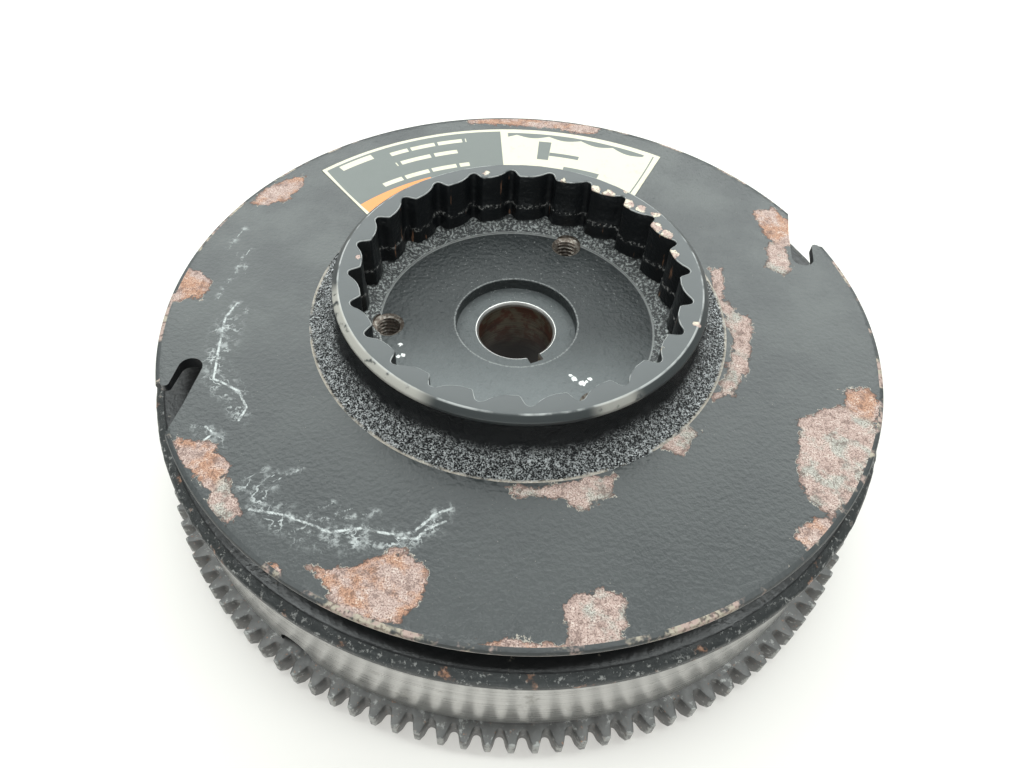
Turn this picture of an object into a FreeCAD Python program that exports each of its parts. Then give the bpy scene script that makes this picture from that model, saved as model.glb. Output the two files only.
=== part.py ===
import FreeCAD, Part
import math
import os

from FreeCAD import Vector

# Outboard engine flywheel: a cast disc with a rope groove, a starter ratchet cup
# on top, a ring gear shrunk on below, and the magnets of the alternator inside.
# Millimetres, +Z along the crankshaft axis, origin on the axis at the bottom rim face.

# ---------------------------------------------------------------- driving sizes
rim_bottom_z = 0.0
rim_chamfer = 1.0
gear_bottom_z = 2.0
gear_thickness = 8.5
disc_above_gear = 47.9
ratchet_above_disc = 16.7

disc_face_radius = 115.0
flange_radius = 116.2
flange_edge_round = 0.8
flange_rim_thickness = 2.0

groove_root_radius = 102.0
groove_root_top_drop = 4.8
groove_root_height = 4.6
groove_lip_radius = 116.5
groove_lip_drop = 11.6

shoulder_radius = 119.6
shoulder_top_drop = 13.2
shoulder_bottom_drop = 15.6
band_radius = 117.7
band_top_drop = 16.2

gear_seat_radius = 114.0
gear_tooth_count = 115
gear_tip_radius = 124.1
gear_root_radius = 119.3
gear_gap_at_tip = 5.1
gear_gap_at_root = 2.3
gear_root_round_height = 0.6
gear_lead_chamfer = 2.0
gear_first_gap_angle = -97.67

ratchet_top_radius = 57.2
ratchet_bevel_radius = 59.2
ratchet_bevel_drop = 1.6
ratchet_band_height = 1.0
ratchet_band_bevel = 0.7
ratchet_neck_radius = 58.5
ratchet_foot_radius = 67.1
ratchet_foot_height = 9.0
neck_sag_inward = 0.72
neck_sag_upward = 0.26
pocket_count = 24
pocket_first_angle = 6.04
land_radius = 50.45
land_middle_rise = 0.02

# Corners of one starter pocket: depth outward from the land, and degrees round from its middle.
pocket_nose = (0.1, -3.4)
pocket_hook_top = (1.3, -2.5)
pocket_hook_foot = (2.95, -1.4)
pocket_deepest = (3.65, -0.1)
pocket_ramp_foot = (3.05, 1.4)
pocket_ramp_knee = (1.4, 3.4)
pocket_ramp_end = (0.1, 6.6)

cup_floor_drop = 5.5
cup_floor_radius = 45.9
cup_ledge_edge_drop = 4.9
cup_ledge_wall_drop = 3.0

nut_recess_radius = 20.3
nut_face_drop = 9.7
bore_radius = 12.7
bore_chamfer = 0.8
bore_straight_length = 6.0
bore_taper_ratio = 8.0
hub_bottom_z = 14.0
hub_radius = 27.0
hub_bottom_chamfer = 1.5

keyway_angle = -61.0
keyway_width = 4.76
keyway_depth = 3.3

puller_hole_count = 3
puller_first_angle = 67.7
puller_circle_radius = 43.0
puller_hole_radius = 3.95

web_underside_drop = 9.5
web_outer_radius = 95.0
web_inner_radius = 62.0
boss_underside_drop = 17.5
boss_radius = 54.0
magnet_bay_radius = 106.0
magnet_stop_radius = 101.0
magnet_stop_thickness = 4.0

rope_notch_angles = (0.0, 180.0)
notch_pocket_center = (99.6, 35.0)
notch_pocket_radius = 3.8
notch_ramp_end = (99.8, 66.0)
notch_hook_tip = (105.4, 41.6)
notch_hook_round = 1.4
notch_hook_back_rise = 1.12
notch_hook_exit = (124.0, 44.0)
notch_depth = 7.4

balance_hole_angle = -119.8
balance_hole_radius = 6.1
balance_hole_z = 11.8
balance_hole_depth = 5.5

magnet_count = 12
magnet_length = 34.0
magnet_thickness = 9.0
magnet_span_angle = 27.0
cage_sleeve_thickness = 1.5

retainer_thickness = 1.5
retainer_outer_radius = 111.3
retainer_recess_radius = 111.5
retainer_recess_height = 4.0
retainer_screw_count = 6
retainer_screw_circle = 108.6
screw_shank_radius = 1.5
screw_hole_clearance = 0.2
screw_head_radius = 2.7
screw_head_height = 1.6
screw_shank_in_rim = 7.0
screw_socket_radius = 1.2
screw_socket_depth = 0.9

trigger_carrier_radius = 33.0
trigger_carrier_bottom_z = 17.0
trigger_carrier_height = 12.0
trigger_magnet_inner_radius = 29.5
trigger_magnet_height = 8.0
trigger_magnet_angles = (28.0, 208.0)
trigger_magnet_span = 24.0
trigger_sleeve_thickness = 0.8

label_thickness = 0.2
label_outer_radius = 106.5
label_inner_radius = 71.0
label_left_corner_angle = 138.9
label_left_foot_angle = 142.9
label_right_corner_angle = 60.0
label_right_foot_angle = 56.6

# How far a cutting shape passes beyond the face that it opens.
cut_clearance = 1.0

# ---------------------------------------------------------------- derived sizes
gear_top_z = gear_bottom_z + gear_thickness
disc_z = gear_top_z + disc_above_gear
ratchet_z = disc_z + ratchet_above_disc
nut_face_z = disc_z - nut_face_drop
taper_top_z = nut_face_z - bore_straight_length
taper_bottom_radius = bore_radius + (taper_top_z - hub_bottom_z) / bore_taper_ratio / 2
magnet_bottom_z = retainer_recess_height
magnet_top_z = magnet_bottom_z + magnet_length
magnet_inner_radius = magnet_bay_radius - magnet_thickness
cage_inner_radius = magnet_inner_radius - cage_sleeve_thickness
retainer_bottom_z = retainer_recess_height - retainer_thickness

origin = Vector(0, 0, 0)
axis = Vector(0, 0, 1)


def polar(radius, angle, z=0.0):
    """Point at a radius and an angle in degrees round the crankshaft axis."""
    turn = math.radians(angle)
    return Vector(radius * math.cos(turn), radius * math.sin(turn), z)


def revolve(edges):
    """Solid of revolution from closed edges drawn in the XZ plane."""
    face = Part.Face(Part.Wire(edges))
    return face.revolve(origin, axis, 360)


def outline(points):
    """Closed loop of straight edges through (radius, z) points."""
    corners = [Vector(radius, 0, z) for radius, z in points]
    corners.append(corners[0])
    return [Part.makeLine(a, b) for a, b in zip(corners, corners[1:])]


def turned(points):
    """Solid of revolution from (radius, z) corner points."""
    return revolve(outline(points))


def ring(inner, outer, bottom, top):
    """Plain ring with a rectangular section."""
    return turned([(inner, bottom), (outer, bottom), (outer, top), (inner, top)])


def sector(inner, outer, bottom, top, start, end):
    """Arc-shaped block between two radii, two heights and two angles."""
    middle = (start + end) / 2
    edges = [
        Part.Arc(polar(outer, start), polar(outer, middle), polar(outer, end)).toShape(),
        Part.makeLine(polar(outer, end), polar(inner, end)),
        Part.Arc(polar(inner, end), polar(inner, middle), polar(inner, start)).toShape(),
        Part.makeLine(polar(inner, start), polar(outer, start)),
    ]
    block = Part.Face(Part.Wire(edges)).extrude(Vector(0, 0, top - bottom))
    block.translate(Vector(0, 0, bottom))
    return block


def turned_copy(shape, angle):
    """Copy of a shape turned round the crankshaft axis."""
    copy = shape.copy()
    copy.rotate(origin, axis, angle)
    return copy


def around(shape, count, first=0.0):
    """Evenly spaced copies of a shape round the crankshaft axis."""
    return [turned_copy(shape, first + 360.0 * i / count) for i in range(count)]


# ---------------------------------------------------------------- casting
def casting_blank():
    """Disc, rope groove, shoulder, band, gear seat, web, hub and ratchet cup as one turning."""
    outer = [
        (gear_seat_radius - rim_chamfer, rim_bottom_z),
        (gear_seat_radius, rim_bottom_z + rim_chamfer),
        (gear_seat_radius, gear_top_z),
        (band_radius, gear_top_z),
        (band_radius, disc_z - band_top_drop),
        (shoulder_radius, disc_z - shoulder_bottom_drop),
        (shoulder_radius, disc_z - shoulder_top_drop),
        (groove_lip_radius, disc_z - groove_lip_drop),
        (groove_root_radius, disc_z - groove_root_top_drop - groove_root_height),
        (groove_root_radius, disc_z - groove_root_top_drop),
        (flange_radius, disc_z - flange_rim_thickness),
        (flange_radius, disc_z - flange_edge_round),
        (disc_face_radius, disc_z),
        (ratchet_foot_radius, disc_z),
    ]
    foot = Vector(ratchet_foot_radius, 0, disc_z)
    neck = Vector(ratchet_neck_radius, 0, disc_z + ratchet_foot_height)
    sag_radius = ratchet_foot_radius - neck_sag_inward * (ratchet_foot_radius - ratchet_neck_radius)
    sag = Vector(sag_radius, 0, disc_z + neck_sag_upward * ratchet_foot_height)
    bevel_z = ratchet_z - ratchet_bevel_drop
    inner = [
        (ratchet_neck_radius, disc_z + ratchet_foot_height),
        (ratchet_neck_radius, bevel_z - ratchet_band_height - ratchet_band_bevel),
        (ratchet_bevel_radius, bevel_z - ratchet_band_height),
        (ratchet_bevel_radius, bevel_z),
        (ratchet_top_radius, ratchet_z),
        (land_radius, ratchet_z),
        (land_radius, disc_z - cup_ledge_wall_drop),
        (cup_floor_radius, disc_z - cup_ledge_edge_drop),
        (cup_floor_radius, disc_z - cup_floor_drop),
        (nut_recess_radius, disc_z - cup_floor_drop),
        (nut_recess_radius, nut_face_z),
        (bore_radius + bore_chamfer, nut_face_z),
        (bore_radius, nut_face_z - bore_chamfer),
        (bore_radius, taper_top_z),
        (taper_bottom_radius, hub_bottom_z),
        (hub_radius - hub_bottom_chamfer, hub_bottom_z),
        (hub_radius, hub_bottom_z + hub_bottom_chamfer),
        (hub_radius, disc_z - boss_underside_drop),
        (boss_radius, disc_z - boss_underside_drop),
        (web_inner_radius, disc_z - web_underside_drop),
        (web_outer_radius, disc_z - web_underside_drop),
        (magnet_stop_radius, magnet_top_z + magnet_stop_thickness),
        (magnet_stop_radius, magnet_top_z),
        (magnet_bay_radius, magnet_top_z),
        (magnet_bay_radius, retainer_recess_height),
        (retainer_recess_radius, retainer_recess_height),
        (retainer_recess_radius, rim_bottom_z),
        (gear_seat_radius - rim_chamfer, rim_bottom_z),
    ]
    edges = []
    for chain in (outer, inner):
        corners = [Vector(radius, 0, z) for radius, z in chain]
        edges += [Part.makeLine(a, b) for a, b in zip(corners, corners[1:])]
    edges.insert(len(outer) - 1, Part.Arc(foot, sag, neck).toShape())
    return revolve(edges)


def pocket_corner(corner, middle_angle):
    """Place of one pocket corner, given as depth from the land and degrees from the pocket's middle."""
    depth, degrees = corner
    return polar(land_radius + depth, middle_angle + degrees)


def ratchet_pockets():
    """Star-shaped prism that opens the saw-like starter pockets in the cup wall."""
    pitch = 360.0 / pocket_count
    land_middle = (pocket_ramp_end[1] + pitch + pocket_nose[1]) / 2
    edges = []
    for i in range(pocket_count):
        middle = pocket_first_angle + i * pitch
        nose = pocket_corner(pocket_nose, middle)
        hook_top = pocket_corner(pocket_hook_top, middle)
        hook_foot = pocket_corner(pocket_hook_foot, middle)
        deepest = pocket_corner(pocket_deepest, middle)
        ramp_foot = pocket_corner(pocket_ramp_foot, middle)
        ramp_knee = pocket_corner(pocket_ramp_knee, middle)
        ramp_end = pocket_corner(pocket_ramp_end, middle)
        land = pocket_corner((land_middle_rise, land_middle), middle)
        next_nose = pocket_corner(pocket_nose, middle + pitch)
        edges += [
            Part.makeLine(nose, hook_top),
            Part.makeLine(hook_top, hook_foot),
            Part.Arc(hook_foot, deepest, ramp_foot).toShape(),
            Part.makeLine(ramp_foot, ramp_knee),
            Part.makeLine(ramp_knee, ramp_end),
            Part.Arc(ramp_end, land, next_nose).toShape(),
        ]
    floor_z = disc_z - cup_ledge_wall_drop
    prism = Part.Face(Part.Wire(edges)).extrude(Vector(0, 0, ratchet_z + cut_clearance - floor_z))
    prism.translate(Vector(0, 0, floor_z))
    core = Part.makeCylinder(land_radius - 2 * cut_clearance, 2 * ratchet_z, origin)
    return prism.cut(core)


def rope_notch():
    """Hooked notch through the top flange that holds the knot of a starting rope."""
    cx, cy = notch_pocket_center
    tip_x, tip_y = notch_hook_tip
    ramp_x, ramp_y = notch_ramp_end
    exit_x, exit_y = notch_hook_exit
    r = notch_pocket_radius
    z = disc_z - notch_depth
    ramp_start = Vector(cx - r, cy, z)
    pocket_end = Vector(cx, cy - r, z)
    hook_start = Vector(cx + r, cy, z)
    hook_tip = Vector(tip_x - notch_hook_round, tip_y, z)
    hook_nose = Vector(tip_x, tip_y + notch_hook_round, z)
    hook_back = Vector(tip_x + notch_hook_round, tip_y + notch_hook_back_rise, z)
    outside = Vector(exit_x, exit_y, z)
    beyond = Vector(exit_x, ramp_y, z)
    ramp_end = Vector(ramp_x, ramp_y, z)
    edges = [
        Part.Arc(ramp_start, pocket_end, hook_start).toShape(),
        Part.makeLine(hook_start, hook_tip),
        Part.Arc(hook_tip, hook_nose, hook_back).toShape(),
        Part.makeLine(hook_back, outside),
        Part.makeLine(outside, beyond),
        Part.makeLine(beyond, ramp_end),
        Part.makeLine(ramp_end, ramp_start),
    ]
    return Part.Face(Part.Wire(edges)).extrude(Vector(0, 0, notch_depth + cut_clearance))


def keyway():
    """Straight key slot along one side of the crankshaft bore."""
    height = nut_face_z - hub_bottom_z
    slot = Part.makeBox(bore_radius + keyway_depth, keyway_width, height + 2 * cut_clearance)
    slot.translate(Vector(0, -keyway_width / 2, hub_bottom_z - cut_clearance))
    slot.rotate(origin, axis, keyway_angle)
    return slot


def casting():
    """Complete iron casting with every machined feature."""
    body = casting_blank()
    tools = [ratchet_pockets(), keyway()]
    tools += [turned_copy(rope_notch(), angle) for angle in rope_notch_angles]
    puller_bottom = Vector(puller_circle_radius, 0, disc_z - boss_underside_drop - cut_clearance)
    puller = Part.makeCylinder(puller_hole_radius, boss_underside_drop, puller_bottom)
    tools += around(puller, puller_hole_count, puller_first_angle)
    drill_start = Vector(band_radius - balance_hole_depth, 0, balance_hole_z)
    drill = Part.makeCylinder(balance_hole_radius, 2 * balance_hole_depth, drill_start, Vector(1, 0, 0))
    tools.append(turned_copy(drill, balance_hole_angle))
    screw_bottom = Vector(retainer_screw_circle, 0, retainer_recess_height)
    screw_hole = Part.makeCylinder(screw_shank_radius, screw_shank_in_rim, screw_bottom)
    tools += around(screw_hole, retainer_screw_count)
    return body.cut(tools)


# ---------------------------------------------------------------- ring gear
def ring_gear():
    """Starter ring gear: blunt straight teeth with a lead-in chamfer below."""
    pitch = 360.0 / gear_tooth_count
    tip_half = math.degrees(gear_gap_at_tip / 2 / gear_tip_radius)
    root_half = math.degrees(gear_gap_at_root / 2 / gear_root_radius)
    shoulder = gear_root_radius + gear_root_round_height
    edges = []
    for i in range(gear_tooth_count):
        gap = gear_first_gap_angle + i * pitch
        tip_in = polar(gear_tip_radius, gap - tip_half)
        root_in = polar(shoulder, gap - root_half)
        root_low = polar(gear_root_radius, gap)
        root_out = polar(shoulder, gap + root_half)
        tip_out = polar(gear_tip_radius, gap + tip_half)
        crest = polar(gear_tip_radius, gap + pitch / 2)
        next_tip = polar(gear_tip_radius, gap + pitch - tip_half)
        edges += [
            Part.makeLine(tip_in, root_in),
            Part.Arc(root_in, root_low, root_out).toShape(),
            Part.makeLine(root_out, tip_out),
            Part.Arc(tip_out, crest, next_tip).toShape(),
        ]
    blank = Part.Face(Part.Wire(edges)).extrude(Vector(0, 0, gear_thickness))
    blank.translate(Vector(0, 0, gear_bottom_z))
    chamfered = turned([
        (gear_seat_radius, gear_bottom_z),
        (gear_tip_radius - gear_lead_chamfer, gear_bottom_z),
        (gear_tip_radius + cut_clearance, gear_bottom_z + gear_lead_chamfer + cut_clearance),
        (gear_tip_radius + cut_clearance, gear_top_z),
        (gear_seat_radius, gear_top_z),
    ])
    return blank.common(chamfered)


# ---------------------------------------------------------------- alternator magnets
def charging_magnet(index):
    """One ferrite arc of the alternator, standing in the bay inside the rim."""
    middle = 360.0 * index / magnet_count
    half = magnet_span_angle / 2
    return sector(magnet_inner_radius, magnet_bay_radius, magnet_bottom_z, magnet_top_z,
                  middle - half, middle + half)


def magnet_cage():
    """Moulded cage: a thin sleeve inside the magnets with a finger between each pair."""
    cage = ring(cage_inner_radius, magnet_inner_radius, magnet_bottom_z, magnet_top_z)
    pitch = 360.0 / magnet_count
    gap = pitch - magnet_span_angle
    finger = sector(magnet_inner_radius, magnet_bay_radius, magnet_bottom_z, magnet_top_z,
                    pitch / 2 - gap / 2, pitch / 2 + gap / 2)
    return cage.fuse(around(finger, magnet_count)).removeSplitter()


def magnet_retainer():
    """Flat ring screwed under the rim that closes the magnet bay."""
    plate = ring(cage_inner_radius, retainer_outer_radius, retainer_bottom_z, retainer_recess_height)
    hole_bottom = Vector(retainer_screw_circle, 0, retainer_bottom_z - cut_clearance)
    hole = Part.makeCylinder(screw_shank_radius + screw_hole_clearance,
                             retainer_thickness + 2 * cut_clearance, hole_bottom)
    return plate.cut(around(hole, retainer_screw_count))


def retainer_screws():
    """The identical small screws of the magnet retainer."""
    head_z = retainer_bottom_z - screw_head_height
    center = Vector(retainer_screw_circle, 0, head_z)
    head = Part.makeCylinder(screw_head_radius, screw_head_height, center)
    length = screw_head_height + retainer_thickness + screw_shank_in_rim
    screw = head.fuse(Part.makeCylinder(screw_shank_radius, length, center)).removeSplitter()
    screw = screw.cut(Part.makeCylinder(screw_socket_radius, screw_socket_depth, center))
    return Part.makeCompound(around(screw, retainer_screw_count))


# ---------------------------------------------------------------- ignition trigger
def trigger_magnet(angle):
    """Small arc magnet that passes the ignition pickup once per turn."""
    middle_z = trigger_carrier_bottom_z + trigger_carrier_height / 2
    half_height = trigger_magnet_height / 2
    half = trigger_magnet_span / 2
    return sector(trigger_magnet_inner_radius, trigger_carrier_radius,
                  middle_z - half_height, middle_z + half_height, angle - half, angle + half)


def trigger_carrier():
    """Moulded collar on the hub with two recesses for the trigger magnets."""
    top = trigger_carrier_bottom_z + trigger_carrier_height
    collar = ring(hub_radius, trigger_carrier_radius, trigger_carrier_bottom_z, top)
    return collar.cut([trigger_magnet(angle) for angle in trigger_magnet_angles])


def trigger_sleeve():
    """Thin band round the collar that keeps the trigger magnets in."""
    top = trigger_carrier_bottom_z + trigger_carrier_height
    outer = trigger_carrier_radius + trigger_sleeve_thickness
    return ring(trigger_carrier_radius, outer, trigger_carrier_bottom_z, top)


# ---------------------------------------------------------------- label
def label():
    """Thin printed sheet on the disc, bounded by two arcs and two straight sides."""
    left_top = polar(label_outer_radius, label_left_corner_angle)
    left_foot = polar(label_inner_radius, label_left_foot_angle)
    right_top = polar(label_outer_radius, label_right_corner_angle)
    right_foot = polar(label_inner_radius, label_right_foot_angle)
    middle_angle = (label_left_corner_angle + label_right_corner_angle) / 2
    edges = [
        Part.Arc(right_top, polar(label_outer_radius, middle_angle), left_top).toShape(),
        Part.makeLine(left_top, left_foot),
        Part.Arc(left_foot, polar(label_inner_radius, middle_angle), right_foot).toShape(),
        Part.makeLine(right_foot, right_top),
    ]
    sheet = Part.Face(Part.Wire(edges)).extrude(Vector(0, 0, label_thickness))
    sheet.translate(Vector(0, 0, disc_z))
    return sheet


# ---------------------------------------------------------------- export
nodes = {
    "flywheel_casting": casting(),
    "ring_gear": ring_gear(),
    "magnet_cage": magnet_cage(),
    "magnet_retainer": magnet_retainer(),
    "retainer_screws": retainer_screws(),
    "trigger_carrier": trigger_carrier(),
    "trigger_sleeve": trigger_sleeve(),
    "label_sheet": label(),
}
for index in range(magnet_count):
    nodes["charging_magnet_%02d" % (index + 1)] = charging_magnet(index)
for index, angle in enumerate(trigger_magnet_angles):
    nodes["trigger_magnet_%02d" % (index + 1)] = trigger_magnet(angle)

os.makedirs("parts", exist_ok=True)
for name, shape in nodes.items():
    box = shape.BoundBox
    print(name, shape.isValid(), len(shape.Solids), round(shape.Volume / 1000, 2),
          [round(v, 2) for v in (box.XMin, box.YMin, box.ZMin, box.XMax, box.YMax, box.ZMax)])
    shape.exportStep("parts/" + name + ".step")
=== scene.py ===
import math

import bpy
import numpy as np
from bpy.props import FloatProperty, FloatVectorProperty, IntProperty, PointerProperty
from mathutils import Matrix, Vector, noise


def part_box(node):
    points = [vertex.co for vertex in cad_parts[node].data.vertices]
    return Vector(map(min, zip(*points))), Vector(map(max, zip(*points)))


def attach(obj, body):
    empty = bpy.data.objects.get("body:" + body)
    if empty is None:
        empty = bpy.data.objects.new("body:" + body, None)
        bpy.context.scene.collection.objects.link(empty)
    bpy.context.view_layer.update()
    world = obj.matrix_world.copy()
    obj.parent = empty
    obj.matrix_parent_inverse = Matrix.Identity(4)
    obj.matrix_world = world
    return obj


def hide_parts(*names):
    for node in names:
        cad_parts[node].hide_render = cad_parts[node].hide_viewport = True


bl_info = {
    "name": "Outboard engine flywheel",
    "version": (1, 0, 0),
    "blender": (4, 5, 0),
    "location": "3D View > Sidebar > Flywheel",
    "description": "Paints and details an outboard engine flywheel round its packed CAD frame",
    "category": "Add Mesh",
}

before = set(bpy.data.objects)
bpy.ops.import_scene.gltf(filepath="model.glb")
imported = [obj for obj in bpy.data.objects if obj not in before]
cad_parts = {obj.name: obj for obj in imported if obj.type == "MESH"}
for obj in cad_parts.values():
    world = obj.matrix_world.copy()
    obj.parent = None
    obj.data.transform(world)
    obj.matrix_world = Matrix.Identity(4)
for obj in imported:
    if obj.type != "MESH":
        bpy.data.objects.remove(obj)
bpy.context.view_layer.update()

MM = 0.001
DISC_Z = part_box("label_sheet")[0].z / MM
CROWN_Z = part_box("flywheel_casting")[1].z / MM
GEAR_LOW, GEAR_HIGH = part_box("ring_gear")


# ------------------------------------------------------------------ sizes and colours
def length(name, description, value):
    """A size in metres, from a value in millimetres."""
    return FloatProperty(name=name, description=description, default=value * MM, unit="LENGTH", precision=5)


def colour(name, description, value):
    """A colour that a user can change."""
    return FloatVectorProperty(name=name, description=description, default=value, size=3,
                               min=0.0, max=1.0, subtype="COLOR")


class FlywheelSizes(bpy.types.PropertyGroup):
    """Sizes of the turned casting, its ratchet cup and its ring gear."""
    disc_radius: length("Disc radius", "Flat top of the disc", 115.0)
    flange_radius: length("Flange radius", "Outer edge of the top flange", 116.2)
    groove_radius: length("Groove radius", "Bottom of the rope groove", 102.0)
    shoulder_radius: length("Shoulder radius", "Lumpy painted shoulder under the groove", 119.6)
    band_radius: length("Band radius", "Bare turned band above the ring gear", 117.7)
    crown_radius: length("Ratchet ring radius", "Outer edge of the ratchet ring", 59.2)
    neck_radius: length("Neck radius", "Waist under the ratchet ring", 58.5)
    foot_radius: length("Foot radius", "Where the ratchet cup runs out on the disc", 67.1)
    land_radius: length("Land radius", "Inside of the ratchet ring between its pockets", 50.45)
    floor_radius: length("Cup floor radius", "Turned floor of the cup", 45.9)
    recess_radius: length("Nut recess radius", "Recess round the crankshaft bore", 20.3)
    bore_radius: length("Bore radius", "Straight top of the tapered bore", 12.7)
    keyway_width: length("Keyway width", "Key slot in the bore", 4.76)
    puller_circle: length("Puller circle", "Radius that the threaded puller holes stand on", 43.0)
    gear_root_radius: length("Gear root radius", "Bottom of the gaps between the teeth", 119.3)
    pocket_count: IntProperty(name="Pockets", description="Pockets in the cup wall", default=24, min=3)
    tooth_count: IntProperty(name="Teeth", description="Teeth of the ring gear", default=115, min=12)


class FlywheelColours(bpy.types.PropertyGroup):
    """Colours of the paint, the bare and rusty metal, the label and the moulded parts."""
    paint: colour("Paint", "Worn black paint", (0.014, 0.018, 0.019))
    primer: colour("Bare grey iron", "Iron where the paint has flaked off", (0.44, 0.32, 0.28))
    rust: colour("Rust", "Orange rust", (0.42, 0.21, 0.12))
    # Oxide also colours the painted shadow line inside the edges of the flakes on the disc.
    oxide_and_shadow: colour("Oxide", "Dark specks in the rust", (0.085, 0.045, 0.035))
    chip: colour("Chip edge", "Pale broken edge of the paint", (0.62, 0.55, 0.46))
    steel: colour("Turned steel", "Bare turned metal", (0.62, 0.61, 0.59))
    label_paper: colour("Label paper", "Cream of the label", (0.62, 0.58, 0.45))
    label_dark: colour("Label ground", "Dark ground of the label", (0.115, 0.13, 0.12))
    label_band: colour("Label band", "Orange band of the label", (0.72, 0.26, 0.06))
    ferrite: colour("Ferrite", "Sintered magnets", (0.06, 0.062, 0.068))
    plastic: colour("Plastic", "Moulded cage and collar", (0.018, 0.018, 0.02))


class FlywheelStage(bpy.types.PropertyGroup):
    """The floor, the camera and the strength of the soft light."""
    floor_size: FloatProperty(name="Floor size", description="Side of the floor", default=6.0, unit="LENGTH")
    floor_colour: colour("Floor", "Pale floor", (0.50, 0.49, 0.468))
    sky: FloatProperty(name="Surrounding light", description="Strength of the room", default=0.22, min=0.0)
    softbox: FloatProperty(name="Softbox", description="Power of the softbox behind", default=17.0, min=0.0)
    lens: FloatProperty(name="Lens", description="Focal length in millimetres", default=27.66)


# ------------------------------------------------------------------ shader maths
class Value:
    """A shader socket that adds Math nodes when it is used in an expression."""

    def __init__(self, paint, socket):
        self.paint = paint
        self.socket = socket

    def __add__(self, other):
        return self.paint.math("ADD", self, other)

    def __sub__(self, other):
        return self.paint.math("SUBTRACT", self, other)

    def __rsub__(self, other):
        return self.paint.math("SUBTRACT", other, self)

    def __mul__(self, other):
        return self.paint.math("MULTIPLY", self, other)

    def __pow__(self, other):
        return self.paint.math("POWER", self, other)

    def __abs__(self):
        return self.paint.math("ABSOLUTE", self)

    __radd__ = __add__
    __rmul__ = __mul__


class Paint:
    """A material on Object coordinates, built from a few named pieces of pattern."""

    def __init__(self, name):
        self.material = bpy.data.materials.new(name)
        self.material.use_nodes = True
        self.tree = self.material.node_tree
        self.shader = self.tree.nodes["Principled BSDF"]
        self.place = self.node("ShaderNodeTexCoord", output="Object")
        self.cache = {}

    def node(self, kind, settings=(), sockets=None, output=0):
        """Adds one node: its settings first, then values or links of its sockets."""
        made = self.tree.nodes.new(kind)
        for key, value in dict(settings).items():
            setattr(made, key, value)
        for key, value in (sockets or {}).items():
            self.feed(made.inputs[key], value)
        return Value(self, made.outputs[output])

    def feed(self, socket, value):
        """Links a Value to a socket, or sets a plain number or colour on it."""
        if isinstance(value, Value):
            self.tree.links.new(value.socket, socket)
        elif socket.type == "RGBA" and len(value) == 3:
            socket.default_value = (*value, 1.0)
        else:
            socket.default_value = value

    def math(self, operation, *terms):
        return self.node("ShaderNodeMath", {"operation": operation}, dict(enumerate(terms)))

    def lowest(self, a, b):
        return self.math("MINIMUM", a, b)

    def highest(self, a, b):
        return self.math("MAXIMUM", a, b)

    def smooth(self, value, low, high):
        """0 below low, 1 above high, and a soft step between."""
        return self.node("ShaderNodeMapRange", {"interpolation_type": "SMOOTHSTEP"},
                         {"Value": value, "From Min": low, "From Max": high})

    def spread(self, value, low, high):
        """A 0 to 1 value stretched to low to high."""
        return self.node("ShaderNodeMapRange", {"clamp": True},
                         {"Value": value, "To Min": low, "To Max": high})

    def within(self, value, low, high, soft):
        """1 between low and high, with soft ends."""
        risen = self.smooth(value, low - soft, low + soft)
        return risen * self.smooth(value, high + soft, high - soft)

    def mix(self, factor, a, b):
        """One colour over another."""
        return self.node("ShaderNodeMix", {"data_type": "RGBA"}, {0: factor, 6: a, 7: b}, 2)

    def stretch(self, *scale):
        """Coordinates scaled along each axis, for a grain with a direction."""
        return self.node("ShaderNodeMapping", {"vector_type": "POINT"},
                         {"Vector": self.place, "Scale": scale})

    def noise(self, grain, detail=2.0, rough=0.5, place=None):
        """Cloudy pattern whose patches are about grain millimetres across."""
        return self.node("ShaderNodeTexNoise", (),
                         {"Vector": place or self.place, "Scale": 1.0 / (grain * MM), "Detail": detail,
                          "Roughness": rough}, "Fac")

    def parts(self):
        """x, y and z in millimetres."""
        if "parts" not in self.cache:
            split = self.node("ShaderNodeSeparateXYZ", (), {0: self.place}).socket.node
            self.cache["parts"] = [Value(self, s) * (1 / MM) for s in split.outputs]
        return self.cache["parts"]

    def polar(self, middle=0.0):
        """Radius in millimetres and angle in degrees round the axis, jumping opposite the middle angle."""
        x, y, _ = self.parts()
        if "radius" not in self.cache:
            self.cache["radius"] = (x * x + y * y) ** 0.5
        turn = math.radians(middle)
        along = x * math.cos(turn) + y * math.sin(turn)
        across = y * math.cos(turn) - x * math.sin(turn)
        angle = self.math("ARCTAN2", across, along) * (180 / math.pi) + middle
        return self.cache["radius"], angle

    def nearest_spot(self, spots):
        """Distance outside the nearest of several (x, y, size) spots, in millimetres."""
        x, y, _ = self.parts()
        nearest = None
        for spot_x, spot_y, size in spots:
            far = ((x - spot_x) ** 2 + (y - spot_y) ** 2) ** 0.5 - size
            nearest = far if nearest is None else self.lowest(nearest, far)
        return nearest

    def marked(self, name):
        """A distance in millimetres that the mesh carries as an attribute."""
        return self.node("ShaderNodeAttribute", {"attribute_name": name}, output="Fac")

    def relief(self, height, depth, normal=None):
        """Bump whose height of 1 is depth millimetres."""
        sockets = {"Height": height, "Distance": depth * MM}
        if normal is not None:
            sockets["Normal"] = normal
        return self.node("ShaderNodeBump", (), sockets)

    def finish(self, **sockets):
        """Sets the shader's own sockets. Base_Color stands for Base Color."""
        for key, value in sockets.items():
            self.feed(self.shader.inputs[key.replace("_", " ")], value)
        return self.material


def sizes():
    return bpy.context.scene.flywheel_sizes


def colours():
    return bpy.context.scene.flywheel_colours


# ------------------------------------------------------------------ casting finishes
def round_axis(radius, angle):
    """Point on the disc at a radius and an angle in degrees."""
    turn = math.radians(angle)
    return radius * math.cos(turn), radius * math.sin(turn)


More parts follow.
